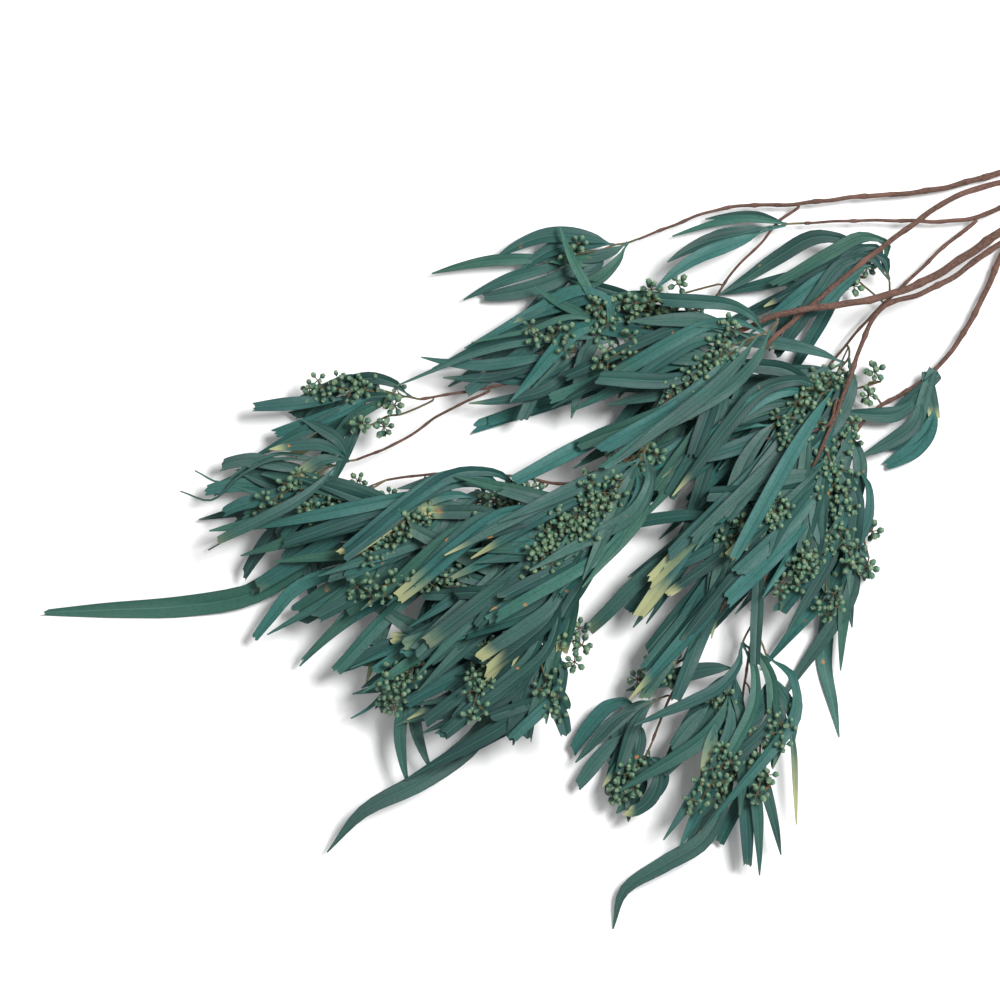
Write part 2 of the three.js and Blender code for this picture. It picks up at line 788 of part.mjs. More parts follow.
function sweepPoints(spec) {
  const joint = jointOn(placed[spec.on], spec.at);
  const base = new THREE.Vector2(joint.centre.x, joint.centre.y);
  const heading = turned(fanDirection(base), spec.turn);
  const bent = turned(heading, -spec.turn * 0.5);
  const middle = base.clone().addScaledVector(heading, spec.length / 2);
  return [middle, middle.clone().addScaledVector(bent, spec.length / 2)];
}

let pieceCount = 0;

// Wood first, then what grows from it, from its thin end back to its base.
function place(spec, on) {
  pieceCount += 1;
  const whole = { ...spec, on, seed: 100 + pieceCount * 7 };
  if (spec.kind === 'wood') {
    makeWood(whole);
    const order = [...spec.grows].sort((one, other) => other.at - one.at);
    order.forEach((child) => place(child, spec.name));
  } else if (spec.kind === 'spray') {
    makeSpray(whole);
  } else if (spec.kind === 'sweep') {
    makeSpray({ ...whole, points: sweepPoints(whole), leaves: [], rise: 0.06, droop: 260 });
  } else {
    makeCluster(whole);
  }
}

// ---------------------------------------------------------------- the stems and what they carry

const stemRight = wood('stem_right', STEM_DIAMETER * 0.9, [
  [356, 180], [347, 160], [338, 140], [327, 120], [316, 103], [302, 88], [277, 70], [256, 59], [245, 30],
  [238, 0],
], { endHeight: 10 }, [
  spray('spray_hanging_right', 0.98, [[232, -10], [233, -42]], [
    leaf(1, 1.05, [[231, -75], [228, -109], [235, -145], [239, -166]]),
    leaf(0.6, 0.8, [[241, -62], [240, -90], [239, -119]]),
    leaf(0.5, 0.7, [[222, -40], [212, -70]]),
    leaf(0.3, 0.9, [[246, -32], [254, -45], [260, -59]], 0.8),
  ], 1),
  cluster('cluster_right_low', 0.92, [[249, 2], [254, -20], [256, -40]], 4),
  sweepSpray('spray_right_low', 0.86, 26, 44, 8),
  sweepSpray('spray_right_middle', 0.74, -14, 56, 10),
  spray('spray_right_blade', 0.58, [[303, 82], [305, 68]], [
    leaf(1, 1.2, [[302, 52], [291, 36], [268, 22]], 0.92),
    leaf(0.3, 1, [[292, 56], [276, 42], [252, 30]]),
  ], 1),
  cluster('cluster_right_high', 0.66, [[276, 86], [258, 80], [240, 72]], 4),
]);

const stemTop = wood('stem_top', STEM_DIAMETER * 0.85, [
  [360, 231], [302, 216], [246, 211], [205, 206], [159, 204], [124, 192], [98, 182],
], { endHeight: 8 }, [
  spray('spray_top_left', 1, [[84, 178], [66, 173], [48, 168]], [
    leaf(1, 0.75, [[24, 168], [-10, 166], [-46, 158]]),
    leaf(0.62, 1.05, [[46, 156], [18, 146], [-15, 141]], 0.9),
    leaf(0.3, 1.05, [[56, 184], [25, 182], [-2, 168]]),
    leaf(0.12, 0.9, [[78, 160], [52, 145], [22, 131]], 0.85),
  ], 1),
  wood('branch_top_down', BRANCH_DIAMETER * 0.75, [
    [200, 198], [191, 189], [183, 178], [166, 162], [158, 151], [151, 139],
  ], { at: 0.57, lift: 16 }, [
    sweepSpray('spray_top_down', 1, 6, 62, 11),
    cluster('cluster_top_down', 0.86, [[140, 147], [121, 142], [102, 138]], 4),
  ]),
]);

const stemThin = wood('stem_thin', STEM_DIAMETER * 0.7, [
  [360, 209], [330, 196], [267, 195], [228, 194], [214, 193],
], { endHeight: 12 }, [
  spray('spray_thin', 1, [[203, 192], [186, 187]], [
    leaf(1, 0.9, [[172, 181], [133, 165], [109, 146]]),
    leaf(0.4, 0.5, [[172, 196], [148, 192], [122, 184]]),
  ], 0),
  wood('branch_thin_down', BRANCH_DIAMETER, [
    [318, 182], [309, 175], [293, 159], [281, 148], [252, 119], [224, 84],
  ], { at: 0.2 }, [
    sweepSpray('spray_thin_low', 1, -8, 70, 12),
    sweepSpray('spray_thin_inner', 0.8, 22, 70, 12),
    cluster('cluster_thin', 0.55, [[266, 150], [252, 156], [236, 150]], 4),
    spray('spray_upper_right', 0.5, [[268, 160], [252, 166], [236, 168]], [
      leaf(1, 1, [[226, 165], [208, 142]], 0.8),
      leaf(0.5, 0.9, [[240, 150], [222, 132], [206, 124]]),
    ], 5),
  ]),
]);

const stemSecond = wood('stem_second', STEM_DIAMETER * 0.8, [
  [360, 222], [321, 212], [285, 189], [246, 159], [214, 132], [195, 116], [168, 84], [148, 42], [122, 27],
  [98, 13], [76, -1], [53, -15], [36, -29], [0, -56], [-35, -91],
], { endHeight: 14, lift: 18 }, [
  spray('spray_low_left', 1, [[-44, -100], [-54, -114]], [
    leaf(1, 0.85, [[-64, -138], [-68, -168], [-62, -199]]),
    leaf(0.55, 0.35, [[-68, -122], [-86, -142], [-102, -152]]),
    leaf(0.3, 0.9, [[-72, -100], [-96, -112], [-112, -119]], 0.85),
  ], 3),
  spray('spray_low_blade', 0.94, [[-10, -86], [-3, -106]], [
    leaf(1, 1.35, [[2, -132], [-6, -154], [-25, -176], [-46, -191], [-78, -207], [-109, -229], [-119, -246]]),
    leaf(0.5, 0.9, [[-14, -110], [-22, -130], [-26, -158]]),
  ], 4),
  spray('spray_left_pale', 0.88, [[-20, -52], [-50, -52], [-80, -50]], [
    leaf(1, 0.85, [[-119, -52], [-142, -63], [-155, -78], [-172, -100]], 0.85),
    leaf(0.6, 0.85, [[-90, -74], [-115, -92], [-138, -116]]),
    leaf(0.4, 0.9, [[-92, -38], [-128, -46], [-158, -66]]),
  ], 5),
  sweepSpray('spray_second_a', 0.78, 32, 66, 11),
  sweepSpray('spray_second_b', 0.44, 12, 76, 12),
  wood('branch_middle_left', BRANCH_DIAMETER * 0.9, [
    [88, 15], [69, 15], [42, 11], [22, 15], [-11, 18], [-45, 18], [-77, 14],
  ], { at: 0.63, lift: 22 }, [
    spray('spray_longest', 1, [[-90, 7], [-105, -3], [-120, -14]], [
      leaf(1, 1.4, [[-130, -38], [-147, -57], [-178, -67], [-216, -74], [-272, -77], [-322, -79]], 0.95),
      leaf(0.74, 0.95, [[-145, -14], [-165, -35], [-179, -57]], 0.85),
      leaf(0.5, 0.95, [[-130, 0], [-158, -4], [-180, -14]], 0.8),
      leaf(0.2, 0.22, [[-124, 6], [-168, -16], [-202, -35]]),
    ], 4),
    cluster('cluster_left_low', 0.86, [[-60, 6], [-76, -6], [-92, -12]], 4),
    sweepSpray('spray_middle_a', 0.74, 20, 60, 9),
    sweepSpray('spray_middle_b', 0.45, -14, 62, 10),
    cluster('cluster_middle', 0.42, [[26, 4], [10, -2], [-8, -12]], 5),
  ]),
]);

const stemKnotty = wood('stem_knotty', STEM_DIAMETER * 0.85, [
  [360, 184], [335, 169], [312, 152], [299, 145], [261, 130], [255, 117], [238, 70], [217, 21], [196, -21],
  [182, -63],
], { endHeight: 16, lift: 20 }, [
  wood('branch_hanging', BRANCH_DIAMETER * 0.8, [
    [180, -80], [174, -112], [170, -140],
  ], { at: 1, lift: 12 }, [
    spray('spray_bottom', 1, [[168, -162], [163, -192]], [
      leaf(1, 1.15, [[150, -228], [129, -248], [102, -260], [83, -281], [81, -300]]),
      leaf(0.8, 0.95, [[150, -208], [140, -226], [133, -246]], 0.85),
      leaf(0.6, 0.9, [[171, -200], [173, -228], [174, -259]], 0.85),
      leaf(0.35, 0.8, [[178, -200], [181, -231], [182, -261]]),
    ], 2),
    cluster('cluster_hanging', 0.82, [[178, -150], [182, -172], [180, -196]], 5),
    spray('spray_bottom_right', 0.36, [[190, -122], [202, -146]], [
      leaf(1, 0.4, [[206, -176], [207, -200], [208, -226]]),
      leaf(0.5, 0.8, [[196, -160], [190, -186]]),
    ], 2),
    spray('spray_bottom_left', 0.3, [[164, -124], [152, -148]], [
      leaf(1, 0.95, [[146, -175], [143, -206]], 0.8),
      leaf(0.5, 0.95, [[142, -160], [126, -178], [112, -194]], 0.85),
    ], 3),
  ]),
  wood('branch_lower', BRANCH_DIAMETER * 0.85, [
    [186, -30], [164, -62], [142, -98], [119, -140], [108, -168],
  ], { at: 0.88, lift: 14 }, [
    spray('spray_lower_end', 1, [[102, -180], [98, -192]], [
      leaf(1, 0.7, [[94, -202], [91, -224]]),
      leaf(0.4, 0.9, [[112, -190], [100, -214], [84, -216]], 0.85),
    ], 3),
    spray('spray_lower_side', 0.8, [[108, -140], [90, -160]], [
      leaf(1, 0.95, [[72, -178], [53, -203]], 0.85),
      leaf(0.5, 0.95, [[84, -140], [62, -160], [50, -180]], 0.85),
    ], 3),
    cluster('cluster_lower', 0.55, [[134, -106], [120, -116], [104, -122]], 4),
  ]),
  sweepSpray('spray_knotty_a', 0.8, -26, 74, 12),
  spray('spray_right_inner', 0.66, [[226, 28], [225, 8], [222, -8]], [
    leaf(1, 1, [[220, -24], [224, -46], [232, -74]]),
    leaf(0.4, 1, [[212, 6], [196, -14], [186, -40]]),
  ], 7),
  sweepSpray('spray_knotty_b', 0.52, -22, 70, 12),
  wood('twig_cut', BRANCH_DIAMETER * 0.8, [
    [228, 52], [205, 45], [180, 42], [161, 41],
  ], { at: 0.56, lift: 24 }),
]);

const stemMain = wood('stem_main', STEM_DIAMETER * 1.2, [
  [360, 194], [327, 171], [289, 148], [255, 138], [233, 134], [203, 130], [179, 122], [157, 111], [144, 98],
  [128, 79], [117, 69], [104, 50], [91, 31], [84, 22], [63, -14], [44, -52], [28, -86],
], { endHeight: 20, lift: 24 }, [
  spray('spray_centre_low', 1, [[26, -96], [30, -112], [32, -124]], [
    leaf(1, 1, [[36, -136], [44, -150], [48, -166]], 0.85),
    leaf(0.5, 1, [[20, -124], [14, -144], [8, -170]], 0.85),
  ], 5),
  cluster('cluster_centre_low', 0.93, [[50, -72], [50, -88], [52, -104]], 5),
  sweepSpray('spray_main_a', 0.88, 16, 62, 11),
  sweepSpray('spray_main_b', 0.82, -24, 66, 11),
  cluster('cluster_centre', 0.76, [[102, 34], [86, 26], [70, 18]], 5),
  sweepSpray('spray_main_c', 0.68, 32, 80, 13),
  wood('branch_left', BRANCH_DIAMETER, [
    [128, 105], [108, 104], [68, 94], [37, 88], [-1, 79], [-30, 74], [-54, 70],
  ], { at: 0.545, lift: 26 }, [
    spray('spray_left_tip', 1, [[-70, 73], [-88, 74], [-102, 71]], [
      leaf(1, 0.85, [[-120, 69], [-150, 66], [-174, 64]], 0.8),
      leaf(0.6, 0.85, [[-112, 60], [-135, 52], [-159, 45]], 0.8),
      leaf(0.1, 0.85, [[-78, 84], [-92, 84], [-112, 77], [-138, 53]]),
    ], 3),
    cluster('cluster_left', 0.95, [[-60, 62], [-74, 58], [-88, 54]]),
    wood('branch_left_fork', BRANCH_DIAMETER * 0.7, [
      [-20, 69], [-36, 62], [-67, 41], [-98, 28],
    ], { at: 0.76, lift: 20 }, [
      spray('spray_left_low', 1, [[-110, 25], [-125, 20], [-140, 14]], [
        leaf(1, 0.9, [[-160, 10], [-185, 10], [-207, 5]], 0.8),
        leaf(0.75, 0.9, [[-152, 24], [-175, 28], [-197, 22]], 0.8),
        leaf(0.6, 0.9, [[-150, 4], [-175, -2], [-194, -11]], 0.8),
        leaf(0.3, 0.22, [[-140, 28], [-172, 24], [-186, 6], [-205, -1], [-221, 6]]),
        leaf(0.1, 0.8, [[-118, 37], [-135, 38], [-158, 35]]),
      ], 2),
    ]),
    spray('spray_upper_left', 0.42, [[58, 102], [42, 102]], [
      leaf(1, 0.75, [[30, 99], [-17, 93], [-53, 99]]),
      leaf(0.4, 0.75, [[40, 80], [10, 70], [-20, 67]]),
    ], 2),
    spray('spray_upper', 0.3, [[82, 112], [72, 124]], [
      leaf(1, 0.65, [[64, 143], [50, 170], [43, 190]]),
      leaf(0.6, 0.4, [[57, 128], [29, 119], [-18, 109]]),
      leaf(0.3, 0.45, [[50, 112], [-5, 104], [-70, 79]]),
    ], 2),
  ]),
  sweepSpray('spray_main_d', 0.4, 8, 74, 12),
]);

[stemRight, stemTop, stemThin, stemSecond, stemKnotty, stemMain].forEach((stem) => place(stem));

// ---------------------------------------------------------------- stand the origin under the middle

const box = new THREE.Box3().setFromObject(bunch);
const centre = box.getCenter(new THREE.Vector3());
bunch.children.forEach((mesh) => mesh.geometry.translate(-centre.x, -centre.y, -box.min.z));
bunch.traverse((mesh) => mesh.isMesh && mesh.geometry.computeVertexNormals());

export default bunch;
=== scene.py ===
# %% [markdown]
# # A bunch of dried eucalyptus
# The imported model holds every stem, spray and capsule cluster as a plain solid in its place.
# This lesson reads the run of each stem and leaf back from those solids, and grows a finely made
# one along it. The positions are never typed in here: they all come from the frame.

# %% Load the frame
import bpy
import json
import math
import random
from mathutils import Euler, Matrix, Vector
from mathutils.bvhtree import BVHTree
from mathutils.geometry import intersect_point_line

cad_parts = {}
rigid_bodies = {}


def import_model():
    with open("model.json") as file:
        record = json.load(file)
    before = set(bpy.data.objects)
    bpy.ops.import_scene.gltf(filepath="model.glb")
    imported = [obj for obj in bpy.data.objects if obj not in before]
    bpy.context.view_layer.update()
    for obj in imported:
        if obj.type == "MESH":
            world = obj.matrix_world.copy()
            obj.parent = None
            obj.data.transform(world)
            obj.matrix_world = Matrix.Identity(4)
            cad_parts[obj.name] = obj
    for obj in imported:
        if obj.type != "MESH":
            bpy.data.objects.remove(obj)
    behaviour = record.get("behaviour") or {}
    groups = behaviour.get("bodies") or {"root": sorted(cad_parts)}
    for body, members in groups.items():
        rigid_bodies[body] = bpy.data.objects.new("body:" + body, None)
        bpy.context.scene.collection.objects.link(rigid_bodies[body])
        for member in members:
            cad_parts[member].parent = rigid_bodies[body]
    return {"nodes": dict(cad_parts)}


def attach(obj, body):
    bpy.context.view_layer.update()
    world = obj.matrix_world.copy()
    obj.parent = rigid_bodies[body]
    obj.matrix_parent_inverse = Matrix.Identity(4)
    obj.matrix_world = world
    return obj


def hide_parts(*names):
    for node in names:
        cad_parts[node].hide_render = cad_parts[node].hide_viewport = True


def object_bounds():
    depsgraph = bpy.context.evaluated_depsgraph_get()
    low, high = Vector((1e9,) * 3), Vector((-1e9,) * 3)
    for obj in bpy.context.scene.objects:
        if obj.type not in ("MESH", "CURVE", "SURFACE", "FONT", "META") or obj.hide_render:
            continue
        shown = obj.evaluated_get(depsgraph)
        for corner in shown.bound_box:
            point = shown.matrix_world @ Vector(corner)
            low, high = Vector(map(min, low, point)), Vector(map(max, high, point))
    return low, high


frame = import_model()
cad_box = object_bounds()
MM = 0.001
print("nodes", len(frame["nodes"]), "box", [[round(v, 4) for v in corner] for corner in cad_box])

# %% [markdown]
# The camera looks straight down on the bunch, from far enough away that nothing is stretched.
# The cut stem ends lie just outside its right-hand side, and a little floor shows below the lowest
# leaf tip.

# %% Camera
VIEW_WIDTH = 0.7
CAMERA_HEIGHT = 3.2
STEMS_OUTSIDE = 0.010
FLOOR_BELOW = 0.050
SENSOR = 36.0
low, high = (Vector(corner) for corner in cad_box)
centre_x = high.x - STEMS_OUTSIDE - VIEW_WIDTH / 2
centre_y = low.y - FLOOR_BELOW + VIEW_WIDTH / 2
camera_data = bpy.data.cameras.new("camera")
camera_data.sensor_width = SENSOR
camera_data.lens = SENSOR * CAMERA_HEIGHT / VIEW_WIDTH
camera = bpy.data.objects.new("camera", camera_data)
camera.location = (centre_x, centre_y, CAMERA_HEIGHT)
bpy.context.collection.objects.link(camera)
bpy.context.scene.camera = camera
print("camera over", round(centre_x, 3), round(centre_y, 3), "lens", round(camera_data.lens, 1))

# %% [markdown]
# ## Reading the solids
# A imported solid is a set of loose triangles. Corners that lie in the same place are made one corner,
# which gives back which corner is joined to which. A tube or a leaf is then a row of rings:
# from its end, every step along the edges reaches exactly the next ring.

# %% Corners, neighbours and layers
MICRONS = 1e6
FLAT_ENOUGH = 0.95


class Solid:
    def __init__(self, node):
        mesh = bpy.data.objects[node].data
        self.points = []
        self.faces = []
        seen = {}
        for polygon in mesh.polygons:
            face = []
            for index in polygon.vertices:
                point = mesh.vertices[index].co
                key = tuple(round(value * MICRONS) for value in point)
                if key not in seen:
                    seen[key] = len(self.points)
                    self.points.append(point.copy())
                face.append(seen[key])
            self.faces.append(face)
        self.joined = [set() for _ in self.points]
        self.around = [[] for _ in self.points]
        for face in self.faces:
            for index in face:
                self.joined[index].update(face)
                self.around[index].append(face)
        for index, others in enumerate(self.joined):
            others.discard(index)

    def middle(self, ring):
        return sum((self.points[index] for index in ring), Vector()) / len(ring)

    def normal(self, face):
        a, b, c = (self.points[index] for index in face)
        return (b - a).cross(c - a).normalized()

    def is_flat_round(self, index):
        normals = [self.normal(face) for face in self.around[index]]
        mean = sum(normals, Vector()).normalized()
        return all(normal.dot(mean) > FLAT_ENOUGH for normal in normals)

    def layers(self, start, size):
        """Rings of one size, one after the other, from the start."""
        rings = [list(start)]
        seen = set(start)
        while True:
            ring = set().union(*(self.joined[index] for index in rings[-1])) - seen
            if len(ring) != size:
                return rings
            rings.append(list(ring))
            seen |= ring

    def flat_ends(self, sides):
        """The middle corners of flat ends with that many sides."""
        return [index for index, near in enumerate(self.joined)
                if len(near) == sides and self.is_flat_round(index)]


STEM_SIDES = 6
TWIG_SIDES = 3
LEAF_SIDES = 3
LEAF_END_NEIGHBOURS = 4
FEWEST_RINGS = 5


def read_tube(node):
    """Centres and radii of a tube, from its thick end to its thin one."""
    solid = Solid(node)
    rings = solid.layers([solid.flat_ends(STEM_SIDES)[0]], STEM_SIDES)[1:]
    centres = [solid.middle(ring) for ring in rings]
    radii = []
    for ring, centre in zip(rings, centres):
        radii.append(sum((solid.points[index] - centre).length for index in ring) / STEM_SIDES)
    if radii[0] < radii[-1]:
        centres.reverse()
        radii.reverse()
    return centres, radii


def read_spray(node):
    """The twig's run and every leaf's stations, each a middle, a half width and a direction to its right."""
    solid = Solid(node)
    leaves = []
    roots = []
    for face in solid.faces:
        if any(len(solid.joined[index]) != LEAF_END_NEIGHBOURS for index in face):
            continue
        rings = solid.layers(face, LEAF_SIDES)
        if len(rings) < FEWEST_RINGS:
            continue
        rings.reverse()
        middles = [solid.middle(ring) for ring in rings]
        stations = []
        for index, ring in enumerate(rings):
            corners = [solid.points[i] for i in ring]
            nexts = corners[1:] + corners[:1]
            pairs = [((one - other).length, i) for i, (one, other) in enumerate(zip(corners, nexts))]
            widest = max(pairs)[1]
            one, other = corners[widest], nexts[widest]
            ahead = middles[min(index + 1, len(rings) - 1)] - middles[max(index - 1, 0)]
            right = ahead.cross(Vector((0, 0, 1)))
            across = one - other if (one - other).dot(right) > 0 else other - one
            if index < 2:
                across = right.normalized() * across.length
            stations.append(((one + other) / 2, across / 2))
        leaves.append(stations)
        roots.append(middles[0])
    starts = solid.flat_ends(TWIG_SIDES)
    base = solid.points[starts[0]] if starts else roots[-1]
    roots.sort(key=lambda point: (point - base).length)
    return [base] + roots, leaves


woods = [name for name in frame["nodes"] if name.startswith(("stem_", "branch_", "twig_"))]
sprays = [name for name in frame["nodes"] if name.startswith("spray_")]
clusters = [name for name in frame["nodes"] if name.startswith("cluster_")]
tubes = {name: read_tube(name) for name in woods}
spray_runs = {name: read_spray(name) for name in sprays}
print("wood", len(woods), "rings", sum(len(run[0]) for run in tubes.values()))
print("sprays", len(sprays), "leaves", sum(len(run[1]) for run in spray_runs.values()))

# %% [markdown]
# A cluster was joined from its capsules, so it isn't a row of rings. Each capsule still ends in a low
# four-sided point over its rim. That point and its four neighbours give the capsule's axis, and a known
# length back along it lies the centre of its umbel. Capsules that agree on a centre belong together.

# %% Umbels
RIM_RADIUS = 1.8 * MM
RIM_SIDES = 4
RIM_TO_POINT = 1.017 * RIM_RADIUS
RIM_LEEWAY = 0.06 * MM
CAPSULE_TOP = 9.2 * MM
UMBEL_LEEWAY = 1.2 * MM
PEDUNCLE = 8 * MM
TWIG_RADIUS = 0.8 * MM
WIDEST_TWIG_END = 1.15 * TWIG_RADIUS


def read_cluster(node):
    """The flat ends of a cluster's twig, and the centre and capsule axes of every umbel."""
    solid = Solid(node)

    def reaches(index):
        return [(solid.points[other] - solid.points[index]).length for other in solid.joined[index]]

    umbels = []
    for index, near in enumerate(solid.joined):
        if len(near) != RIM_SIDES or any(abs(reach - RIM_TO_POINT) > RIM_LEEWAY for reach in reaches(index)):
            continue
        point = solid.points[index]
        axis = (point - solid.middle(near)).normalized()
        centre = point - axis * CAPSULE_TOP
        for umbel in umbels:
            if (umbel["centre"] - centre).length < UMBEL_LEEWAY:
                umbel["axes"].append(axis)
                break
        else:
            umbels.append({"centre": centre, "axes": [axis]})
    ends = [index for index in solid.flat_ends(RIM_SIDES) if max(reaches(index)) < WIDEST_TWIG_END]
    return [solid.points[index] for index in ends], umbels


cluster_runs = {name: read_cluster(name) for name in clusters}
for name, (ends, umbels) in cluster_runs.items():
    print(name, "ends", len(ends), "umbels", [len(umbel["axes"]) for umbel in umbels])

# %% [markdown]
# ## Smooth runs
# The solids are coarse, so a smooth line is drawn through their stations. It's parted by chord length,
# which keeps it from swinging out where a short stretch meets a long one.

# %% A smooth line through points
NO_LENGTH = 1e-9


def smooth_at(points, places, place):
    """The point at a place along a run, by a spline through points of any length."""
    last = len(points) - 1
    index = max(i for i in range(last) if places[i] <= place or i == 0)
    span = max(places[index + 1] - places[index], NO_LENGTH)
    share = min(max((place - places[index]) / span, 0.0), 1.0)

    def slope(i):
        before, after = max(i - 1, 0), min(i + 1, last)
        return (points[after] - points[before]) / max(places[after] - places[before], NO_LENGTH)

    a, b = points[index], points[index + 1]
    m, n = slope(index) * span, slope(index + 1) * span
    s2, s3 = share * share, share * share * share
    return a * (2 * s3 - 3 * s2 + 1) + m * (s3 - 2 * s2 + share) + b * (3 * s2 - 2 * s3) + n * (s3 - s2)


def places_along(points):
    places = [0.0]
    for one, other in zip(points, points[1:]):
        places.append(places[-1] + (other - one).length)
    return places


# %% [markdown]
# ## Modelled once, bent many times
# A real bunch has hundreds of leaves that are all the same kind of thing: a strip, keeled along its
# midrib, with two thin margins. So one flat blade is modelled, and each leaf is a copy of it that is
# laid along its own run. The same goes for a length of stem.

# %% Helpers for working in edit mode
def nothing_selected():
    for item in bpy.context.view_layer.objects:
        item.select_set(False)


def start_edit(item, chosen_by="VERT"):
    """Nothing chosen, and the next visit to edit mode chooses points or edges."""
    bpy.context.view_layer.objects.active = item
    item.select_set(True)
    bpy.ops.object.mode_set(mode="EDIT")
    bpy.ops.mesh.select_mode(type=chosen_by)
    bpy.ops.mesh.select_all(action="DESELECT")
    bpy.ops.object.mode_set(mode="OBJECT")


def pick(item, chosen):
    """Select the points that pass a test, ready for an edit-mode tool."""
    bpy.ops.object.mode_set(mode="OBJECT")
    for polygon in item.data.polygons:
        polygon.select = False
    for edge in item.data.edges:
        edge.select = False
    for vertex in item.data.vertices:
        vertex.select = chosen(vertex.co)
    bpy.ops.object.mode_set(mode="EDIT")
    bpy.ops.mesh.select_mode(type="VERT")


def end_edit():
    bpy.ops.object.mode_set(mode="OBJECT")
    nothing_selected()


# %% The blade: a strip with a keel and turned-up margins
STEPS_ALONG = 20
STEPS_ACROSS = 6
KEEL_DROP = 0.45
MARGIN_RISE = 0.25
nothing_selected()
bpy.ops.mesh.primitive_grid_add(x_subdivisions=STEPS_ALONG, y_subdivisions=STEPS_ACROSS, size=1)
blade = bpy.context.object
blade.name = "blade_pattern"
start_edit(blade)
pick(blade, lambda co: abs(co.y) < 0.01)
bpy.ops.transform.translate(value=(0, 0, -KEEL_DROP))
pick(blade, lambda co: abs(co.y) > 0.49)
bpy.ops.transform.translate(value=(0, 0, MARGIN_RISE))
end_edit()
print("blade", len(blade.data.vertices), "points")

# %% The rod: a length of stem with many rings
def make_rod(name, sides, rings):
    bpy.ops.mesh.primitive_cylinder_add(vertices=sides, radius=1, depth=1, end_fill_type="NGON")
    rod = bpy.context.object
    rod.name = name
    start_edit(rod, "EDGE")
    for edge in rod.data.edges:
        a, b = (rod.data.vertices[index].co for index in edge.vertices)
        edge.select = abs(a.z - b.z) > 0.5
    bpy.ops.object.mode_set(mode="EDIT")
    bpy.ops.mesh.subdivide(number_cuts=rings - 1)
    end_edit()
    return rod


stem_rod = make_rod("stem_pattern", sides=10, rings=110)
twig_rod = make_rod("twig_pattern", sides=6, rings=14)
print("rods", len(stem_rod.data.vertices), len(twig_rod.data.vertices), "points")


# %% Bending a copy of the rod along a run
FULL_TURN = 6.28
LOOK_AHEAD = 0.002
FIRST_KNOT = (0.01, 0.03)
KNOT_GAPS = (0.012, 0.036)
KNOT_SIZES = (0.25, 1.0)
KNOT_LENGTH = 0.0022
CROOK_SHARE = 0.35
CROOKS_SIDEWAYS = 230
CROOKS_UPWARD = 310
FLUTES = 3
FLUTE_DEPTH = 0.07
FLUTE_TWIST = 40


def bent_rod(rod, centres, radii, dice, knots=0.0):
    """A copy of a rod along centres. Knots are the swellings where leaves once grew."""
    places = places_along(centres)
    total = places[-1]
    radius_points = [Vector((radius, 0, 0)) for radius in radii]
    swellings = []
    place = dice.uniform(*FIRST_KNOT)
    while knots and place < total:
        swellings.append((place, dice.uniform(*KNOT_SIZES) * knots))
        place += dice.uniform(*KNOT_GAPS)
    mesh = rod.data.copy()
    phases = [dice.uniform(0, FULL_TURN) for _ in range(3)]
    cache = {}
    for vertex in mesh.vertices:
        share = min(max(vertex.co.z + 0.5, 0.0), 1.0)
        key = round(share * 10000)
        if key not in cache:
            here = share * total
            centre = smooth_at(centres, places, here)
            before = smooth_at(centres, places, max(here - LOOK_AHEAD, 0))
            after = smooth_at(centres, places, min(here + LOOK_AHEAD, total))
            ahead = (after - before).normalized()
            right = ahead.cross(Vector((0, 0, 1))).normalized()
            up = right.cross(ahead)
            radius = smooth_at(radius_points, places, here).x
            for where, size in swellings:
                radius += size * math.exp(-((here - where) / KNOT_LENGTH) ** 2)
            sideways = math.sin(here * CROOKS_SIDEWAYS + phases[0])
            upward = math.sin(here * CROOKS_UPWARD + phases[1])
            crook = CROOK_SHARE * knots * (sideways * right + upward * up)
            cache[key] = (centre + crook, right, up, radius)
        centre, right, up, radius = cache[key]
        angle = math.atan2(vertex.co.y, vertex.co.x)
        out = radius * (1 + FLUTE_DEPTH * math.sin(FLUTES * angle + phases[2] + share * FLUTE_TWIST))
        vertex.co = centre + (right * math.cos(angle) + up * math.sin(angle)) * out
    return mesh


def write_numbers(mesh, name, numbers):
    attribute = mesh.attributes.new(name=name, type="FLOAT", domain="POINT")
    attribute.data.foreach_set("value", numbers)


def join_meshes(name, meshes, material):
    """One object of one material from several meshes."""
    nothing_selected()
    items = []
    for mesh in meshes:
        item = bpy.data.objects.new(name, mesh)
        bpy.context.collection.objects.link(item)
        item.select_set(True)
        items.append(item)
    bpy.context.view_layer.objects.active = items[0]
    if len(items) > 1:
        bpy.ops.object.join()
    whole = bpy.context.view_layer.objects.active
    whole.name = name
    whole.data.materials.clear()
    whole.data.materials.append(material)
    nothing_selected()
    return whole


def apply_all(item):
    bpy.context.view_layer.objects.active = item
    for modifier in list(item.modifiers):
        bpy.ops.object.modifier_apply(modifier=modifier.name)


def facing_out(item):
    """Every face turned to the outside."""
    start_edit(item)
    bpy.ops.object.mode_set(mode="EDIT")
    bpy.ops.mesh.select_all(action="SELECT")
    bpy.ops.mesh.normals_make_consistent(inside=False)
    end_edit()


def smooth_shaded(item, degrees=50):
    nothing_selected()
    bpy.context.view_layer.objects.active = item
    item.select_set(True)
    bpy.ops.object.shade_smooth_by_angle(angle=math.radians(degrees))
    nothing_selected()


# %% [markdown]
# ## Finishes
# Every finish is worked out from the piece itself: its place, the marks along it and a few numbers
# kept on its points. Sums on sockets are written as plain sums, through a small class.

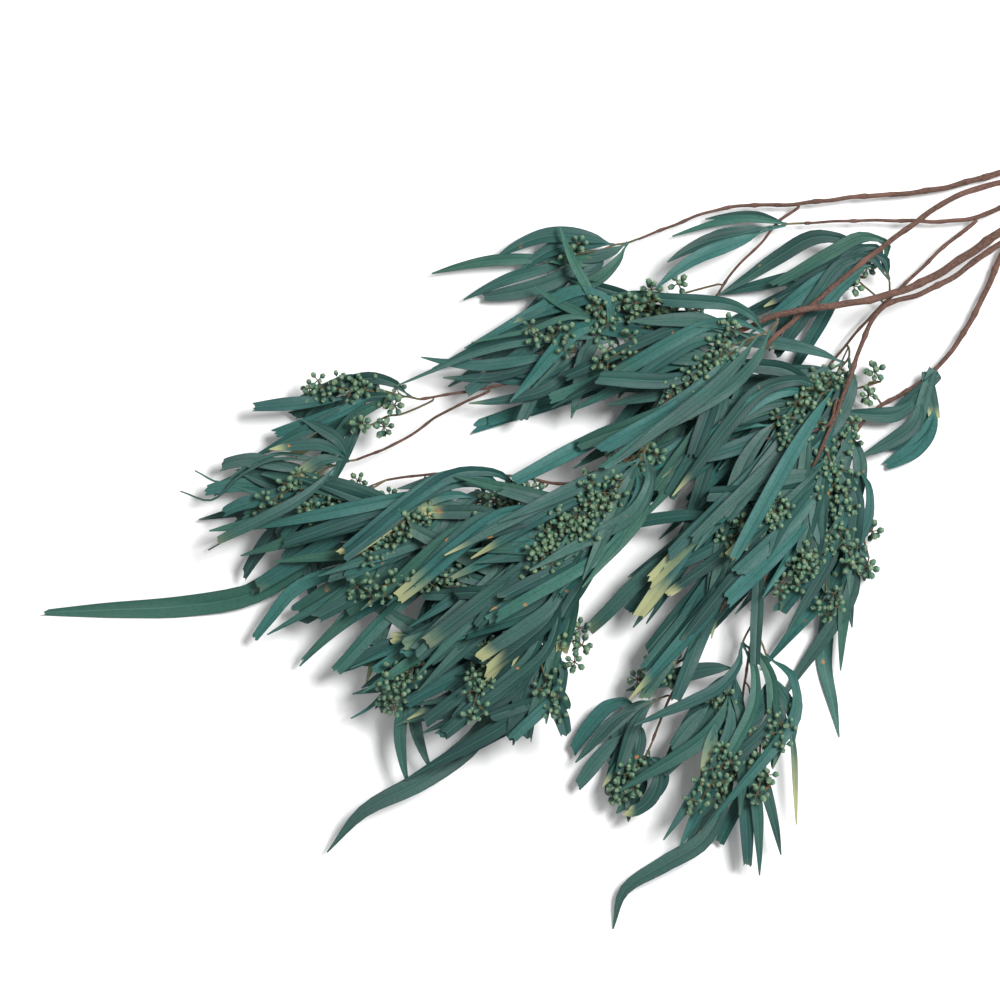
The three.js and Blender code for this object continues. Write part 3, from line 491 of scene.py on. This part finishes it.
# %% A socket that can be added and multiplied
class Socket:
    def __init__(self, finish, socket):
        self.finish = finish
        self.socket = socket

    def sum(self, operation, other, swapped=False):
        pair = [other, self] if swapped else [self, other]
        return self.finish.node("ShaderNodeMath", {"operation": operation}, pair)

    def __add__(self, other):
        return self.sum("ADD", other)

    __radd__ = __add__

    def __sub__(self, other):
        return self.sum("SUBTRACT", other)

    def __rsub__(self, other):
        return self.sum("SUBTRACT", other, True)

    def __mul__(self, other):
        return self.sum("MULTIPLY", other)

    __rmul__ = __mul__

    def __pow__(self, other):
        return self.sum("POWER", other)

    def over(self, low, high):
        """0 below low, 1 above high."""
        values = {"Value": self, "From Min": low, "From Max": high}
        return self.finish.node("ShaderNodeMapRange", {"interpolation_type": "SMOOTHSTEP"}, values)

    def wave(self):
        return self.finish.node("ShaderNodeMath", {"operation": "SINE"}, [self])

    def size(self):
        return self.finish.node("ShaderNodeMath", {"operation": "ABSOLUTE"}, [self])


class Finish:
    """A material. Its nodes are made by one method, from a type, settings, and values or sockets."""

    def __init__(self, name, roughness):
        self.material = bpy.data.materials.new(name)
        self.material.use_nodes = True
        self.tree = self.material.node_tree
        self.shader = self.tree.nodes["Principled BSDF"]
        self.shader.inputs["Roughness"].default_value = roughness

    def node(self, kind, settings, values, output=0):
        made = self.tree.nodes.new(kind)
        for name, value in settings.items():
            setattr(made, name, value)
        pairs = enumerate(values) if isinstance(values, list) else values.items()
        for name, value in pairs:
            if isinstance(value, Socket):
                self.tree.links.new(value.socket, made.inputs[name])
            else:
                made.inputs[name].default_value = value
        return Socket(self, made.outputs[output])

    def place(self):
        return self.node("ShaderNodeTexCoord", {}, {}, "Object")

    def along_across(self):
        """The piece's own flat coordinates, in centimetres along and across it."""
        flat = self.node("ShaderNodeUVMap", {"uv_map": "UVMap"}, {})
        return [self.node("ShaderNodeSeparateXYZ", {}, [flat], axis) for axis in "XY"]

    def number(self, name):
        return self.node("ShaderNodeAttribute", {"attribute_name": name}, {}, "Fac")

    def noise(self, vector, scale, detail=3.0):
        values = {"Vector": vector, "Scale": scale, "Detail": detail}
        return self.node("ShaderNodeTexNoise", {}, values, "Fac")

    def mix(self, share, one, other):
        """A colour between two. The node keeps its colours in sockets 6 and 7, and its result in 2."""
        one, other = (colour if isinstance(colour, Socket) else (*colour, 1) for colour in (one, other))
        return self.node("ShaderNodeMix", {"data_type": "RGBA"}, {0: share, 6: one, 7: other}, 2)

    def feed(self, name, value):
        self.tree.links.new(value.socket, self.shader.inputs[name])

    def relief(self, height, distance, strength=1.0):
        values = {"Height": height, "Distance": distance, "Strength": strength}
        self.feed("Normal", self.node("ShaderNodeBump", {}, values))


# %% [markdown]
# The leaves were dyed a deep teal before they dried. The dye took unevenly: some leaves are greyer,
# many ends stayed a pale yellow-green, and here and there is an orange-brown scar. A pale midrib runs down
# each, with fine side veins that leave it at a slant.

# %% Leaf finish
# The dark end of the dye: the darkest leaves are dyed so, and leaves laid under others are pushed towards it
# as painted shade.
DARK_DYE_AND_SHADE = (0.003, 0.014, 0.017)
LIGHT_DYE = (0.025, 0.136, 0.128)
LEAF_GREEN = (0.030, 0.105, 0.062)
DULL_GREY = (0.046, 0.088, 0.078)
CLOUD_GREEN = (0.024, 0.110, 0.080)
DARK_GRAIN = (0.007, 0.032, 0.034)
VEIN_TEAL = (0.055, 0.200, 0.180)
RIB_GREEN = (0.075, 0.190, 0.140)
DARK_RIM = (0.010, 0.040, 0.040)
PALE_END = (0.340, 0.360, 0.185)
SCAR_ORANGE = (0.480, 0.190, 0.055)


def leaf_finish():
    finish = Finish("dyed leaf", 0.5)
    along, across = finish.along_across()
    place = finish.place()
    tone = finish.number("tone")
    pale = finish.number("pale")
    grey = finish.number("grey")
    green = finish.number("green")
    edge = finish.number("edge")
    cloud = finish.noise(place, 26.0)
    grain = finish.noise(place, 420.0, 4.0)
    veins = ((across.size() * 50.0 - along * 40.0 + grain * 5.0).wave() * 0.5 + 0.5) ** 3.0
    rib = 1.0 - across.size().over(0.015, 0.06)
    # tone is each leaf's own dye at random, lowered for leaves laid under others as painted shade.
    deep = finish.mix(tone, DARK_DYE_AND_SHADE, LIGHT_DYE)
    greened = finish.mix(green, deep, LEAF_GREEN)
    greyed = finish.mix(grey, greened, DULL_GREY)
    clouded = finish.mix(cloud.over(0.35, 0.75) * 0.35, greyed, CLOUD_GREEN)
    grained = finish.mix(grain.over(0.35, 0.8) * 0.4, clouded, DARK_GRAIN)
    veined = finish.mix(veins * 0.28, grained, VEIN_TEAL)
    ribbed = finish.mix(rib * 0.45, veined, RIB_GREEN)
    rimmed = finish.mix(edge.over(0.88, 1.0) * 0.35, ribbed, DARK_RIM)
    tipped = finish.mix((pale + (cloud - 0.5) * 0.8).over(0.25, 0.95), rimmed, PALE_END)
    scar = finish.noise(place, 95.0, 1.0).over(0.735, 0.78) * cloud.over(0.45, 0.6)
    finish.feed("Base Color", finish.mix(scar, tipped, SCAR_ORANGE))
    finish.feed("Roughness", 0.46 + grain * 0.2)
    finish.relief(veins * 0.35 + grain * 0.4 + rib * 0.6, 0.00025, 0.6)
    finish.shader.inputs["Specular IOR Level"].default_value = 0.35
    return finish.material


# %% [markdown]
# Bark is a dull red-brown with ridges that run along the stem, redder patches, pale specks and a pale
# cut face. The green twigs are olive with patches of brown. A capsule is darkest in its body, pale round
# its mouth and brown in its stalk.

# %% Bark, twig and capsule finishes
DARK_BARK = (0.036, 0.017, 0.012)
BARK_BROWN = (0.140, 0.070, 0.048)
BARK_RED = (0.190, 0.092, 0.068)
BARK_SPECKS = (0.260, 0.180, 0.135)
CUT_WOOD = (0.560, 0.410, 0.250)
TWIG_OLIVE = (0.070, 0.075, 0.032)
TWIG_BROWN = (0.170, 0.125, 0.062)
TWIG_SPECKS = (0.250, 0.215, 0.120)
CAPSULE_DARK = (0.010, 0.050, 0.044)
CAPSULE_LIGHT = (0.062, 0.165, 0.105)
CAPSULE_PATCHES = (0.110, 0.170, 0.080)
CAPSULE_MOUTH = (0.230, 0.320, 0.180)
STALK_BROWN = (0.085, 0.066, 0.028)
CAPSULE_SPECKS = (0.220, 0.290, 0.190)


def bark_finish():
    finish = Finish("bark", 0.8)
    along, across = finish.along_across()
    place = finish.place()
    stretched = finish.node("ShaderNodeCombineXYZ", {}, [along * 1.6, across * 9.0, 0.0])
    ridges = finish.noise(stretched, 2.2, 5.0)
    speckle = finish.noise(place, 900.0, 3.0)
    patches = finish.noise(place, 45.0, 3.0)
    cut = finish.number("cut")
    base = finish.mix(ridges.over(0.3, 0.7), DARK_BARK, BARK_BROWN)
    reddened = finish.mix(patches.over(0.45, 0.75) * 0.6, base, BARK_RED)
    dusted = finish.mix(speckle.over(0.55, 0.75) * 0.45, reddened, BARK_SPECKS)
    faced = finish.mix(cut, dusted, CUT_WOOD)
    finish.feed("Base Color", faced)
    finish.feed("Roughness", 0.72 + speckle * 0.2)
    finish.relief(ridges + speckle * 0.4, 0.0005, 0.8)
    return finish.material


def twig_finish():
    finish = Finish("green twig", 0.65)
    place = finish.place()
    patches = finish.noise(place, 60.0, 3.0)
    speckle = finish.noise(place, 1100.0, 2.0)
    base = finish.mix(patches.over(0.35, 0.7), TWIG_OLIVE, TWIG_BROWN)
    finish.feed("Base Color", finish.mix(speckle.over(0.55, 0.8) * 0.5, base, TWIG_SPECKS))
    finish.relief(speckle, 0.0002, 0.6)
    return finish.material


def capsule_finish():
    finish = Finish("seed capsule", 0.55)
    place = finish.place()
    height = finish.number("height")
    tone = finish.number("tone")
    patches = finish.noise(place, 240.0, 3.0)
    speckle = finish.noise(place, 1600.0, 2.0)
    body = finish.mix(tone, CAPSULE_DARK, CAPSULE_LIGHT)
    mottled = finish.mix(patches.over(0.4, 0.7) * 0.5, body, CAPSULE_PATCHES)
    topped = finish.mix(height.over(0.72, 0.98) * 0.65, mottled, CAPSULE_MOUTH)
    stalked = finish.mix(1.0 - height.over(0.28, 0.42), topped, STALK_BROWN)
    finish.feed("Base Color", finish.mix(speckle.over(0.6, 0.8) * 0.3, stalked, CAPSULE_SPECKS))
    finish.relief(patches + speckle * 0.5, 0.0003, 0.6)
    return finish.material


LEAF = leaf_finish()
BARK = bark_finish()
TWIG = twig_finish()
CAPSULE = capsule_finish()
print("finishes", [material.name for material in (LEAF, BARK, TWIG, CAPSULE)])


# %% [markdown]
# ## Wood
# Each stem is a copy of the rod, swollen at its knots and cut square at its thick end. Its own flat
# coordinates run along it in centimetres, so that the ridges of the bark follow every bend. A branch
# starts in the heart of the wood that it grows from.

# %% Stems and branches
CENTIMETRES = 100
SEAM_WRAP = 0.5
ROOT_REACH = 9 * MM
KNOT_SHARE = 0.28
CUT_BELOW = -0.4999


def unwrap_rod(mesh, rod, length, radius):
    """Flat coordinates from the rod the mesh was copied from."""
    layer = mesh.uv_layers[0]
    layer.name = "UVMap"
    around = 2 * math.pi * radius
    for polygon in mesh.polygons:
        corners = [rod.data.vertices[index].co for index in polygon.vertices]
        angles = [math.atan2(co.y, co.x) / (2 * math.pi) for co in corners]
        wrap = max(angles) - min(angles) > SEAM_WRAP
        for loop, co, angle in zip(polygon.loop_indices, corners, angles):
            turn = angle + 1 if wrap and angle < 0 else angle
            layer.data[loop].uv = ((co.z + 0.5) * length * CENTIMETRES, turn * around * CENTIMETRES)


def rooted(points, own=None):
    """The run with a point added in the heart of the wood that it grows from."""
    best = None
    for name, (centres, radii) in tubes.items():
        if name == own:
            continue
        for one, other in zip(centres, centres[1:]):
            near, share = intersect_point_line(points[0], one, other)
            near = one.lerp(other, min(max(share, 0.0), 1.0))
            if best is None or (near - points[0]).length < (best - points[0]).length:
                best = near
    if (best - points[0]).length > ROOT_REACH:
        return list(points)
    return [best] + list(points)


def make_wood(name):
    dice = random.Random(name)
    centres, radii = tubes[name]
    if not name.startswith("stem_"):
        centres = rooted(centres, name)
        radii = [radii[0]] * (len(centres) - len(radii)) + radii
    length = places_along(centres)[-1]
    mesh = bent_rod(stem_rod, centres, radii, dice, knots=KNOT_SHARE * radii[0])
    unwrap_rod(mesh, stem_rod, length, sum(radii) / len(radii))
    ends = [0.0] * len(mesh.vertices)
    if name.startswith("stem_"):
        for index, vertex in enumerate(stem_rod.data.vertices):
            ends[index] = 1.0 if vertex.co.z < CUT_BELOW else 0.0
    write_numbers(mesh, "cut", ends)
    piece = join_meshes(name + "_bark", [mesh], BARK)
    facing_out(piece)
    smooth_shaded(piece)
    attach(piece, "root")
    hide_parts(name)
    return len(mesh.polygons)


print("wood faces", sum(make_wood(name) for name in woods))

# %% [markdown]
# ## Leafy sprays
# A leaf is laid along its stations: the pattern's length becomes the run, its width the leaf's width
# there, and its keel is scaled with the width. Broken ends are ragged, and whole ones come to a point.
# A wall of a third of a millimetre is added when the spray is whole.

# %% One leaf
LEAF_WALL = 0.00035
LOWEST = 0.0004
LEAF_LIFT = 0.0004
KEEL_SHARE = 0.55
BROKEN_WIDTH = 0.9 * MM
TOOTH = 0.0035
SLANT = 0.003
RIPPLE = 0.7 * MM
RIPPLES = 150
FULL_RIPPLE_WIDTH = 4 * MM


def leaf_run(stations):
    middles = [middle for middle, across in stations]
    acrosses = [across for middle, across in stations]
    return middles, acrosses, places_along(middles)


def bent_leaf(run, dice, look):
    middles, acrosses, places = run
    total = places[-1]
    mesh = blade.data.copy()
    broken = acrosses[-1].length > BROKEN_WIDTH
    teeth = [dice.uniform(0, 1) if broken else 0 for _ in range(STEPS_ACROSS + 1)]
    slant = dice.uniform(-1, 1)
    ripple = dice.uniform(0.2, 1.0) * RIPPLE
    phase = dice.uniform(0, FULL_TURN)
    numbers = {"tone": [], "pale": [], "grey": [], "green": [], "edge": []}
    spots = []
    for vertex in mesh.vertices:
        share = vertex.co.x + 0.5
        across = vertex.co.y * 2
        tooth = teeth[round((vertex.co.y + 0.5) * STEPS_ACROSS)]
        missing = tooth * TOOTH + (1 + slant * across) * SLANT if broken else 0
        here = share * (total - missing)
        middle = smooth_at(middles, places, here)
        before = smooth_at(middles, places, max(here - LOOK_AHEAD, 0))
        after = smooth_at(middles, places, min(here + LOOK_AHEAD, total))
        ahead = (after - before).normalized()
        side = smooth_at(acrosses, places, here)
        width = side.length
        side = (side - ahead * side.dot(ahead)).normalized()
        up = side.cross(ahead)
        keel = vertex.co.z * width * KEEL_SHARE
        wave = ripple * math.sin(here * RIPPLES + phase + across) * across * across
        wave *= min(width / FULL_RIPPLE_WIDTH, 1)
        vertex.co = middle + side * (across * width) + up * (keel + wave + LEAF_LIFT)
        vertex.co.z = max(vertex.co.z, LOWEST)
        spots.append((here, across * width))
        numbers["tone"].append(look["tone"])
        numbers["grey"].append(look["grey"])
        numbers["green"].append(look["green"])
        numbers["pale"].append(look["pale"] * max(0.0, (share - look["from"]) / (1 - look["from"])))
        numbers["edge"].append(abs(across))
    for name, values in numbers.items():
        write_numbers(mesh, name, values)
    layer = mesh.uv_layers[0]
    layer.name = "UVMap"
    for polygon in mesh.polygons:
        for corner, index in zip(polygon.loop_indices, polygon.vertices):
            layer.data[corner].uv = [spot * CENTIMETRES for spot in spots[index]]
    return mesh


def leaf_look(dice, depth=1.0):
    """How dark, grey, green and pale a leaf is. One in ten is pale at its end, a few from near the root. A
    depth below one darkens a leaf laid under another, as painted shade.
    """
    pale = dice.random()
    return {
        # A depth below one darkens a leaf laid under another: painted shade.
        "tone": dice.uniform(0.0, 1.0) ** 1.2 * depth,
        "grey": dice.uniform(0.4, 1.0) if dice.random() < 0.28 else dice.uniform(0, 0.2),
        "green": dice.uniform(0.3, 0.9) if dice.random() < 0.22 else dice.uniform(0, 0.15),
        "pale": dice.uniform(0.8, 1.2) if pale < 0.1 else dice.uniform(0.0, 0.42),
        "from": dice.uniform(0.1, 0.5) if pale < 0.035 else dice.uniform(0.65, 0.85),
    }


# %% [markdown]
# The solids hold one leaf in two. The others grow from the same twigs: each is a copy of its
# neighbour's run, swung a little to one side about its root and laid just under it, and its colour is
# darkened as painted shade from the leaf above.

# %% A neighbour for a leaf
CROWD_SQUARE = 0.018
CROWDED = 7
FLOOR_ROOM = 0.8 * MM
SINKING_LENGTH = 0.03


def square_of(point):
    return (round(point.x / CROWD_SQUARE), round(point.y / CROWD_SQUARE))


def leaves_near(point):
    return crowd.get(square_of(point), 0)


crowd = {}
for twig, leaves in spray_runs.values():
    for stations in leaves:
        for one, other in zip(stations, stations[1:]):
            for share in (0.0, 0.5):
                square = square_of(one[0].lerp(other[0], share))
                crowd[square] = crowd.get(square, 0) + 1
print("squares with leaves", len(crowd))


def swung(stations, swing, shrink, sunk):
    """The same run, turned about its root, shortened and lowered."""
    root = stations[0][0]
    turn = Euler((0, 0, swing))
    found = []
    for middle, across in stations:
        offset = (middle - root) * shrink
        side = across.copy()
        offset.rotate(turn)
        side.rotate(turn)
        eased = min(offset.length / SINKING_LENGTH, 1.0)
        place = root + offset
        place.z = max(place.z - sunk * eased, FLOOR_ROOM)
        found.append((place, side))
    return found


def neighbour(stations, dice):
    """A run beside this one, swung wide only where its end stays among other leaves."""
    narrow = dice.uniform(6, 13)
    for degrees in (dice.uniform(28, 44), dice.uniform(16, 30), narrow):
        swing = math.radians(degrees) * dice.choice((-1, 1))
        found = swung(stations, swing, dice.uniform(0.66, 0.94), dice.uniform(1.0, 3.0) * MM)
        others = sum(leaves_near(place) for place, side in found[-2:])
        if degrees == narrow or others >= CROWDED:
            return found


# %% Whole sprays
LONGEST_COPIED = 0.135
# Leaves laid under others keep half their tone, as painted shade.
UNDER_LEAF_PAINTED_SHADE = 0.5
NEIGHBOUR_CHANCES = (0.9, 0.5)
TWIG_TIP_SHARE = 0.6
TWIG_BODY_SHARE = 1.05
TWIG_KNOTS = 0.08 * MM


def make_spray(name):
    dice = random.Random(name)
    twig, leaves = spray_runs[name]
    meshes = []
    for stations in leaves:
        meshes.append(bent_leaf(leaf_run(stations), dice, leaf_look(dice)))
        length = leaf_run(stations)[2][-1]
        for chance in NEIGHBOUR_CHANCES:
            if length < LONGEST_COPIED and dice.random() < chance:
                run = leaf_run(neighbour(stations, dice))
                # The leaf laid under is painted darker, as shade from the leaf above.
                meshes.append(bent_leaf(run, dice, leaf_look(dice, UNDER_LEAF_PAINTED_SHADE)))
    piece = join_meshes(name + "_leaves", meshes, LEAF)
    wall = piece.modifiers.new("wall", "SOLIDIFY")
    wall.thickness = LEAF_WALL
    wall.offset = 0
    apply_all(piece)
    smooth_shaded(piece, 60)
    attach(piece, "root")
    twig = rooted(twig)
    if len(twig) > 2:
        radii = [TWIG_RADIUS * TWIG_BODY_SHARE] * (len(twig) - 1) + [TWIG_RADIUS * TWIG_TIP_SHARE]
        mesh = bent_rod(twig_rod, twig, radii, dice, TWIG_KNOTS)
        stalk = join_meshes(name + "_twig", [mesh], TWIG)
        smooth_shaded(stalk)
        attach(stalk, "root")
    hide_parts(name)
    return len(meshes)


print("leaves", sum(make_spray(name) for name in sprays))

# %% [markdown]
# ## Seed capsules
# A capsule is an urn on a stalk, with a lip round its mouth and a low dome of valves inside. One is
# turned up from a small cylinder by extruding its top and scaling each new ring. Its rings are given as
# heights and radii in millimetres, from the stalk up to the lip.

# %% The capsule pattern
CAPSULE_SIDES = 8
STALK_RADIUS = 0.45
STALK_START = 1.0
CAPSULE_RINGS = [
    (3.4, 0.50), (4.0, 1.15), (5.0, 2.15), (6.2, 2.60), (7.3, 2.40), (8.1, 1.85), (8.6, 1.70), (8.95, 1.90),
]
MOUTH_DEPTH = 0.45
MOUTH_SHARE = 0.72
VALVES_RISE = 0.55
VALVES_SHARE = 0.3


def next_ring(rise, ratio):
    """Extrude the picked face upwards and scale it about the axis."""
    bpy.ops.mesh.extrude_region_move(TRANSFORM_OT_translate={"value": (0, 0, rise * MM)})
    bpy.ops.transform.resize(value=(ratio, ratio, 1), center_override=(0, 0, 0))


def make_capsule():
    nothing_selected()
    bpy.ops.mesh.primitive_cylinder_add(
        vertices=CAPSULE_SIDES, radius=STALK_RADIUS * MM, depth=STALK_START * MM,
        location=(0, 0, STALK_START / 2 * MM))
    capsule = bpy.context.object
    bpy.ops.object.transform_apply(location=True, rotation=False, scale=False)
    capsule.name = "capsule_pattern"
    start_edit(capsule)
    height, radius = STALK_START, STALK_RADIUS
    pick(capsule, lambda co: co.z > STALK_START / 2 * MM)
    for next_height, next_radius in CAPSULE_RINGS:
        next_ring(next_height - height, next_radius / radius)
        height, radius = next_height, next_radius
    next_ring(-MOUTH_DEPTH, MOUTH_SHARE)
    next_ring(VALVES_RISE, VALVES_SHARE)
    end_edit()
    return capsule


capsule = make_capsule()
print("capsule faces", len(capsule.data.polygons))


# %% Umbels and their stalks
SQUASH = (0.86, 1.06)
AXIS_TRIES = 40
ROD_TIP_SHARE = 0.8
STALK_TONE = 0.3
PEDUNCLE_RADIUS = 0.6 * MM
PEDUNCLE_ARCH = 0.0004
CAPSULES_ADDED = 4
CAPSULE_SIZES = (0.76, 0.96)


def capsule_copy(centre, axis, dice, size):
    mesh = capsule.data.copy()
    turn = Vector((0, 0, 1)).rotation_difference(axis)
    tone = dice.random()
    heights = [vertex.co.z / CAPSULE_TOP for vertex in mesh.vertices]
    squash = dice.uniform(*SQUASH)
    for vertex in mesh.vertices:
        point = Vector((vertex.co.x * squash, vertex.co.y, vertex.co.z)) * size
        point.rotate(turn)
        vertex.co = centre + point
    write_numbers(mesh, "height", heights)
    write_numbers(mesh, "tone", [tone] * len(heights))
    return mesh


def more_axes(axes, count, dice):
    """Axes in the widest gaps between those there are, none pointing steeply down."""
    found = list(axes)
    for _ in range(count):
        tries = []
        for _ in range(AXIS_TRIES):
            axis = Vector((dice.gauss(0, 1), dice.gauss(0, 1), dice.uniform(-0.3, 1.0)))
            tries.append(axis.normalized())
        found.append(max(tries, key=lambda axis: min(axis.angle(other) for other in found)))
    return found


def thin_rod(points, radius, dice):
    return bent_rod(twig_rod, points, [radius] * (len(points) - 1) + [radius * ROD_TIP_SHARE], dice)


def with_numbers(meshes):
    """Stalks get the numbers that capsules have, so that they can be joined."""
    for mesh in meshes:
        if "height" not in mesh.attributes:
            write_numbers(mesh, "height", [0.0] * len(mesh.vertices))
            write_numbers(mesh, "tone", [STALK_TONE] * len(mesh.vertices))


def make_cluster(name):
    """A cluster's twig starts at the flat end that lies farthest from its umbels."""
    dice = random.Random(name)
    ends, umbels = cluster_runs[name]
    base = max(ends, key=lambda end: sum((end - umbel["centre"]).length for umbel in umbels))
    umbels.sort(key=lambda umbel: (umbel["centre"] - base).length)
    meshes = []
    run = rooted([base])
    for umbel in umbels:
        outward = sum(umbel["axes"], Vector()).normalized()
        root = umbel["centre"] - outward * PEDUNCLE
        run.append(root)
        arch = (root + umbel["centre"]) / 2 + Vector((0, 0, PEDUNCLE_ARCH))
        meshes.append(thin_rod([root, arch, umbel["centre"]], PEDUNCLE_RADIUS, dice))
        for axis in more_axes(umbel["axes"], CAPSULES_ADDED, dice):
            meshes.append(capsule_copy(umbel["centre"], axis, dice, dice.uniform(*CAPSULE_SIZES)))
    meshes.append(thin_rod(run, TWIG_RADIUS, dice))
    with_numbers(meshes)
    piece = join_meshes(name + "_capsules", meshes, CAPSULE)
    smooth_shaded(piece)
    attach(piece, "root")
    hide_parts(name)
    return len(meshes)


print("cluster parts", sum(make_cluster(name) for name in clusters))

# %% [markdown]
# In the thick of the bunch, thin fruiting twigs lie on top of the leaves. Each starts where a leafy
# twig does, finds its way up between the leaves, and then follows whatever lies highest under it. It ends
# before it would leave the crowd. Its umbels stand to either side in turn.

# %% Fruiting twigs on top
TWIG_STEP = 7 * MM
OVER_LEAVES = 1.4 * MM
STEEPEST_STEP = 5 * MM
STEPS_TAKEN = (8, 13)
BEND_PER_STEP = 3.5
HEADING_SPREAD = 16
FEWEST_POINTS = 4
FRUIT_TWIG_RADIUS = 0.62 * MM
FRUIT_STALK_RADIUS = 0.36 * MM
FRUIT_STALK_ARCH = 0.5 * MM
FRUIT_SIZES = (0.62, 0.84)
FIRST_UMBEL = 0.016
UMBEL_GAPS = (0.005, 0.010)
UMBEL_STALKS = (4, 8)
UMBEL_CAPSULES = (4, 7)
END_STALK = 4 * MM
END_CAPSULES = 6
SIDE_STEP = 0.003

leaf_trees = []
for name in sprays:
    data = bpy.data.objects[name + "_leaves"].data
    faces = [list(polygon.vertices) for polygon in data.polygons]
    leaf_trees.append(BVHTree.FromPolygons([vertex.co for vertex in data.vertices], faces))


def highest_at(x, y):
    """The height of the highest leaf over a place, or the table's."""
    best = 0.0
    for tree in leaf_trees:
        found = tree.ray_cast(Vector((x, y, 1.0)), Vector((0, 0, -1)))
        if found[0] is not None:
            best = max(best, found[0].z)
    return best


def fruiting_run(base, heading, dice):
    """Points over the pile from a base, every few millimetres, within the crowd."""
    points = [base.copy()]
    turn = Euler((0, 0, math.radians(dice.uniform(-BEND_PER_STEP, BEND_PER_STEP))))
    for _ in range(dice.randint(*STEPS_TAKEN)):
        heading.rotate(turn)
        place = points[-1] + heading * TWIG_STEP
        if leaves_near(place) < CROWDED:
            break
        top = min(highest_at(place.x, place.y) + OVER_LEAVES, high.z)
        place.z = min(max(top, points[-1].z - STEEPEST_STEP), points[-1].z + STEEPEST_STEP)
        points.append(place)
    heights = [point.z for point in points]
    for index in range(1, len(points) - 1):
        points[index].z = max(heights[index], (heights[index - 1] + heights[index + 1]) / 2)
    return points


def umbel_meshes(root, outward, peduncle, capsules, dice):
    centre = root + outward * peduncle
    middle = root.lerp(centre, 0.5) + Vector((0, 0, FRUIT_STALK_ARCH))
    meshes = [thin_rod([root, middle, centre], FRUIT_STALK_RADIUS, dice)]
    for axis in more_axes([outward], capsules - 1, dice):
        meshes.append(capsule_copy(centre, axis, dice, dice.uniform(*FRUIT_SIZES)))
    return meshes


def make_fruiting_twig(name, number):
    dice = random.Random(name + str(number))
    twig = spray_runs[name][0]
    base = twig[min(number * 3, len(twig) - 1)]
    heading = Vector((twig[-1].x - twig[0].x, twig[-1].y - twig[0].y, 0)).normalized()
    heading.rotate(Euler((0, 0, math.radians(dice.uniform(-HEADING_SPREAD, HEADING_SPREAD)))))
    points = fruiting_run(base, heading, dice)
    if len(points) < FEWEST_POINTS:
        return 0
    places = places_along(points)
    meshes = [thin_rod(points, FRUIT_TWIG_RADIUS, dice)]
    place = FIRST_UMBEL
    side = dice.choice((-1, 1))
    while place < places[-1]:
        root = smooth_at(points, places, place)
        before = smooth_at(points, places, place - SIDE_STEP)
        after = smooth_at(points, places, min(place + SIDE_STEP, places[-1]))
        ahead = (after - before).normalized()
        across = ahead.cross(Vector((0, 0, 1))).normalized() * side
        outward = across + ahead * dice.uniform(0.2, 0.9) + Vector((0, 0, dice.uniform(0.15, 0.6)))
        stalk = dice.uniform(*UMBEL_STALKS) * MM
        meshes += umbel_meshes(root, outward.normalized(), stalk, dice.randint(*UMBEL_CAPSULES), dice)
        place += dice.uniform(*UMBEL_GAPS)
        side = -side
    onward = (points[-1] - points[-2]).normalized()
    meshes += umbel_meshes(points[-1], onward, END_STALK, END_CAPSULES, dice)
    with_numbers(meshes)
    piece = join_meshes(f"{name}_fruit_{number}", meshes, CAPSULE)
    smooth_shaded(piece)
    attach(piece, "root")
    return 1


print("fruiting twigs", sum(make_fruiting_twig(name, number) for name in sprays for number in (0, 1)))

# %% Put the patterns away
for pattern in (blade, stem_rod, twig_rod, capsule):
    bpy.data.objects.remove(pattern)

# %% [markdown]
# ## The stage
# A white table, a broad soft lamp to the upper right, and an even sky. The shadows fall to the left
# and stay soft, as under a large studio lamp.

# %% Table, lamp and sky
TABLE_SIZE = 8
TABLE_WHITE = (0.93, 0.93, 0.93, 1)
LAMP_PLACE = (1.1, 0.7, 2.4)
LAMP_SIZE = 0.9
LAMP_POWER = 92
SKY_WHITE = (1, 1, 1, 1)
SKY_STRENGTH = 0.48
bpy.ops.mesh.primitive_plane_add(size=TABLE_SIZE, location=(0, 0, 0))
table = bpy.context.object
table.name = "table"
table_finish = Finish("white table", 0.9)
table_finish.shader.inputs["Base Color"].default_value = TABLE_WHITE
table.data.materials.append(table_finish.material)


def add_lamp(name, place, target, size, power):
    data = bpy.data.lights.new(name, "AREA")
    data.shape = "DISK"
    data.size = size
    data.energy = power
    lamp = bpy.data.objects.new(name, data)
    lamp.location = place
    lamp.rotation_euler = (Vector(target) - Vector(place)).to_track_quat("-Z", "Y").to_euler()
    bpy.context.collection.objects.link(lamp)


add_lamp("key_lamp", LAMP_PLACE, (0, 0, 0), LAMP_SIZE, LAMP_POWER)
world = bpy.data.worlds.new("sky")
world.use_nodes = True
world.node_tree.nodes["Background"].inputs["Color"].default_value = SKY_WHITE
world.node_tree.nodes["Background"].inputs["Strength"].default_value = SKY_STRENGTH
bpy.context.scene.world = world
bpy.context.scene.view_settings.view_transform = "Standard"
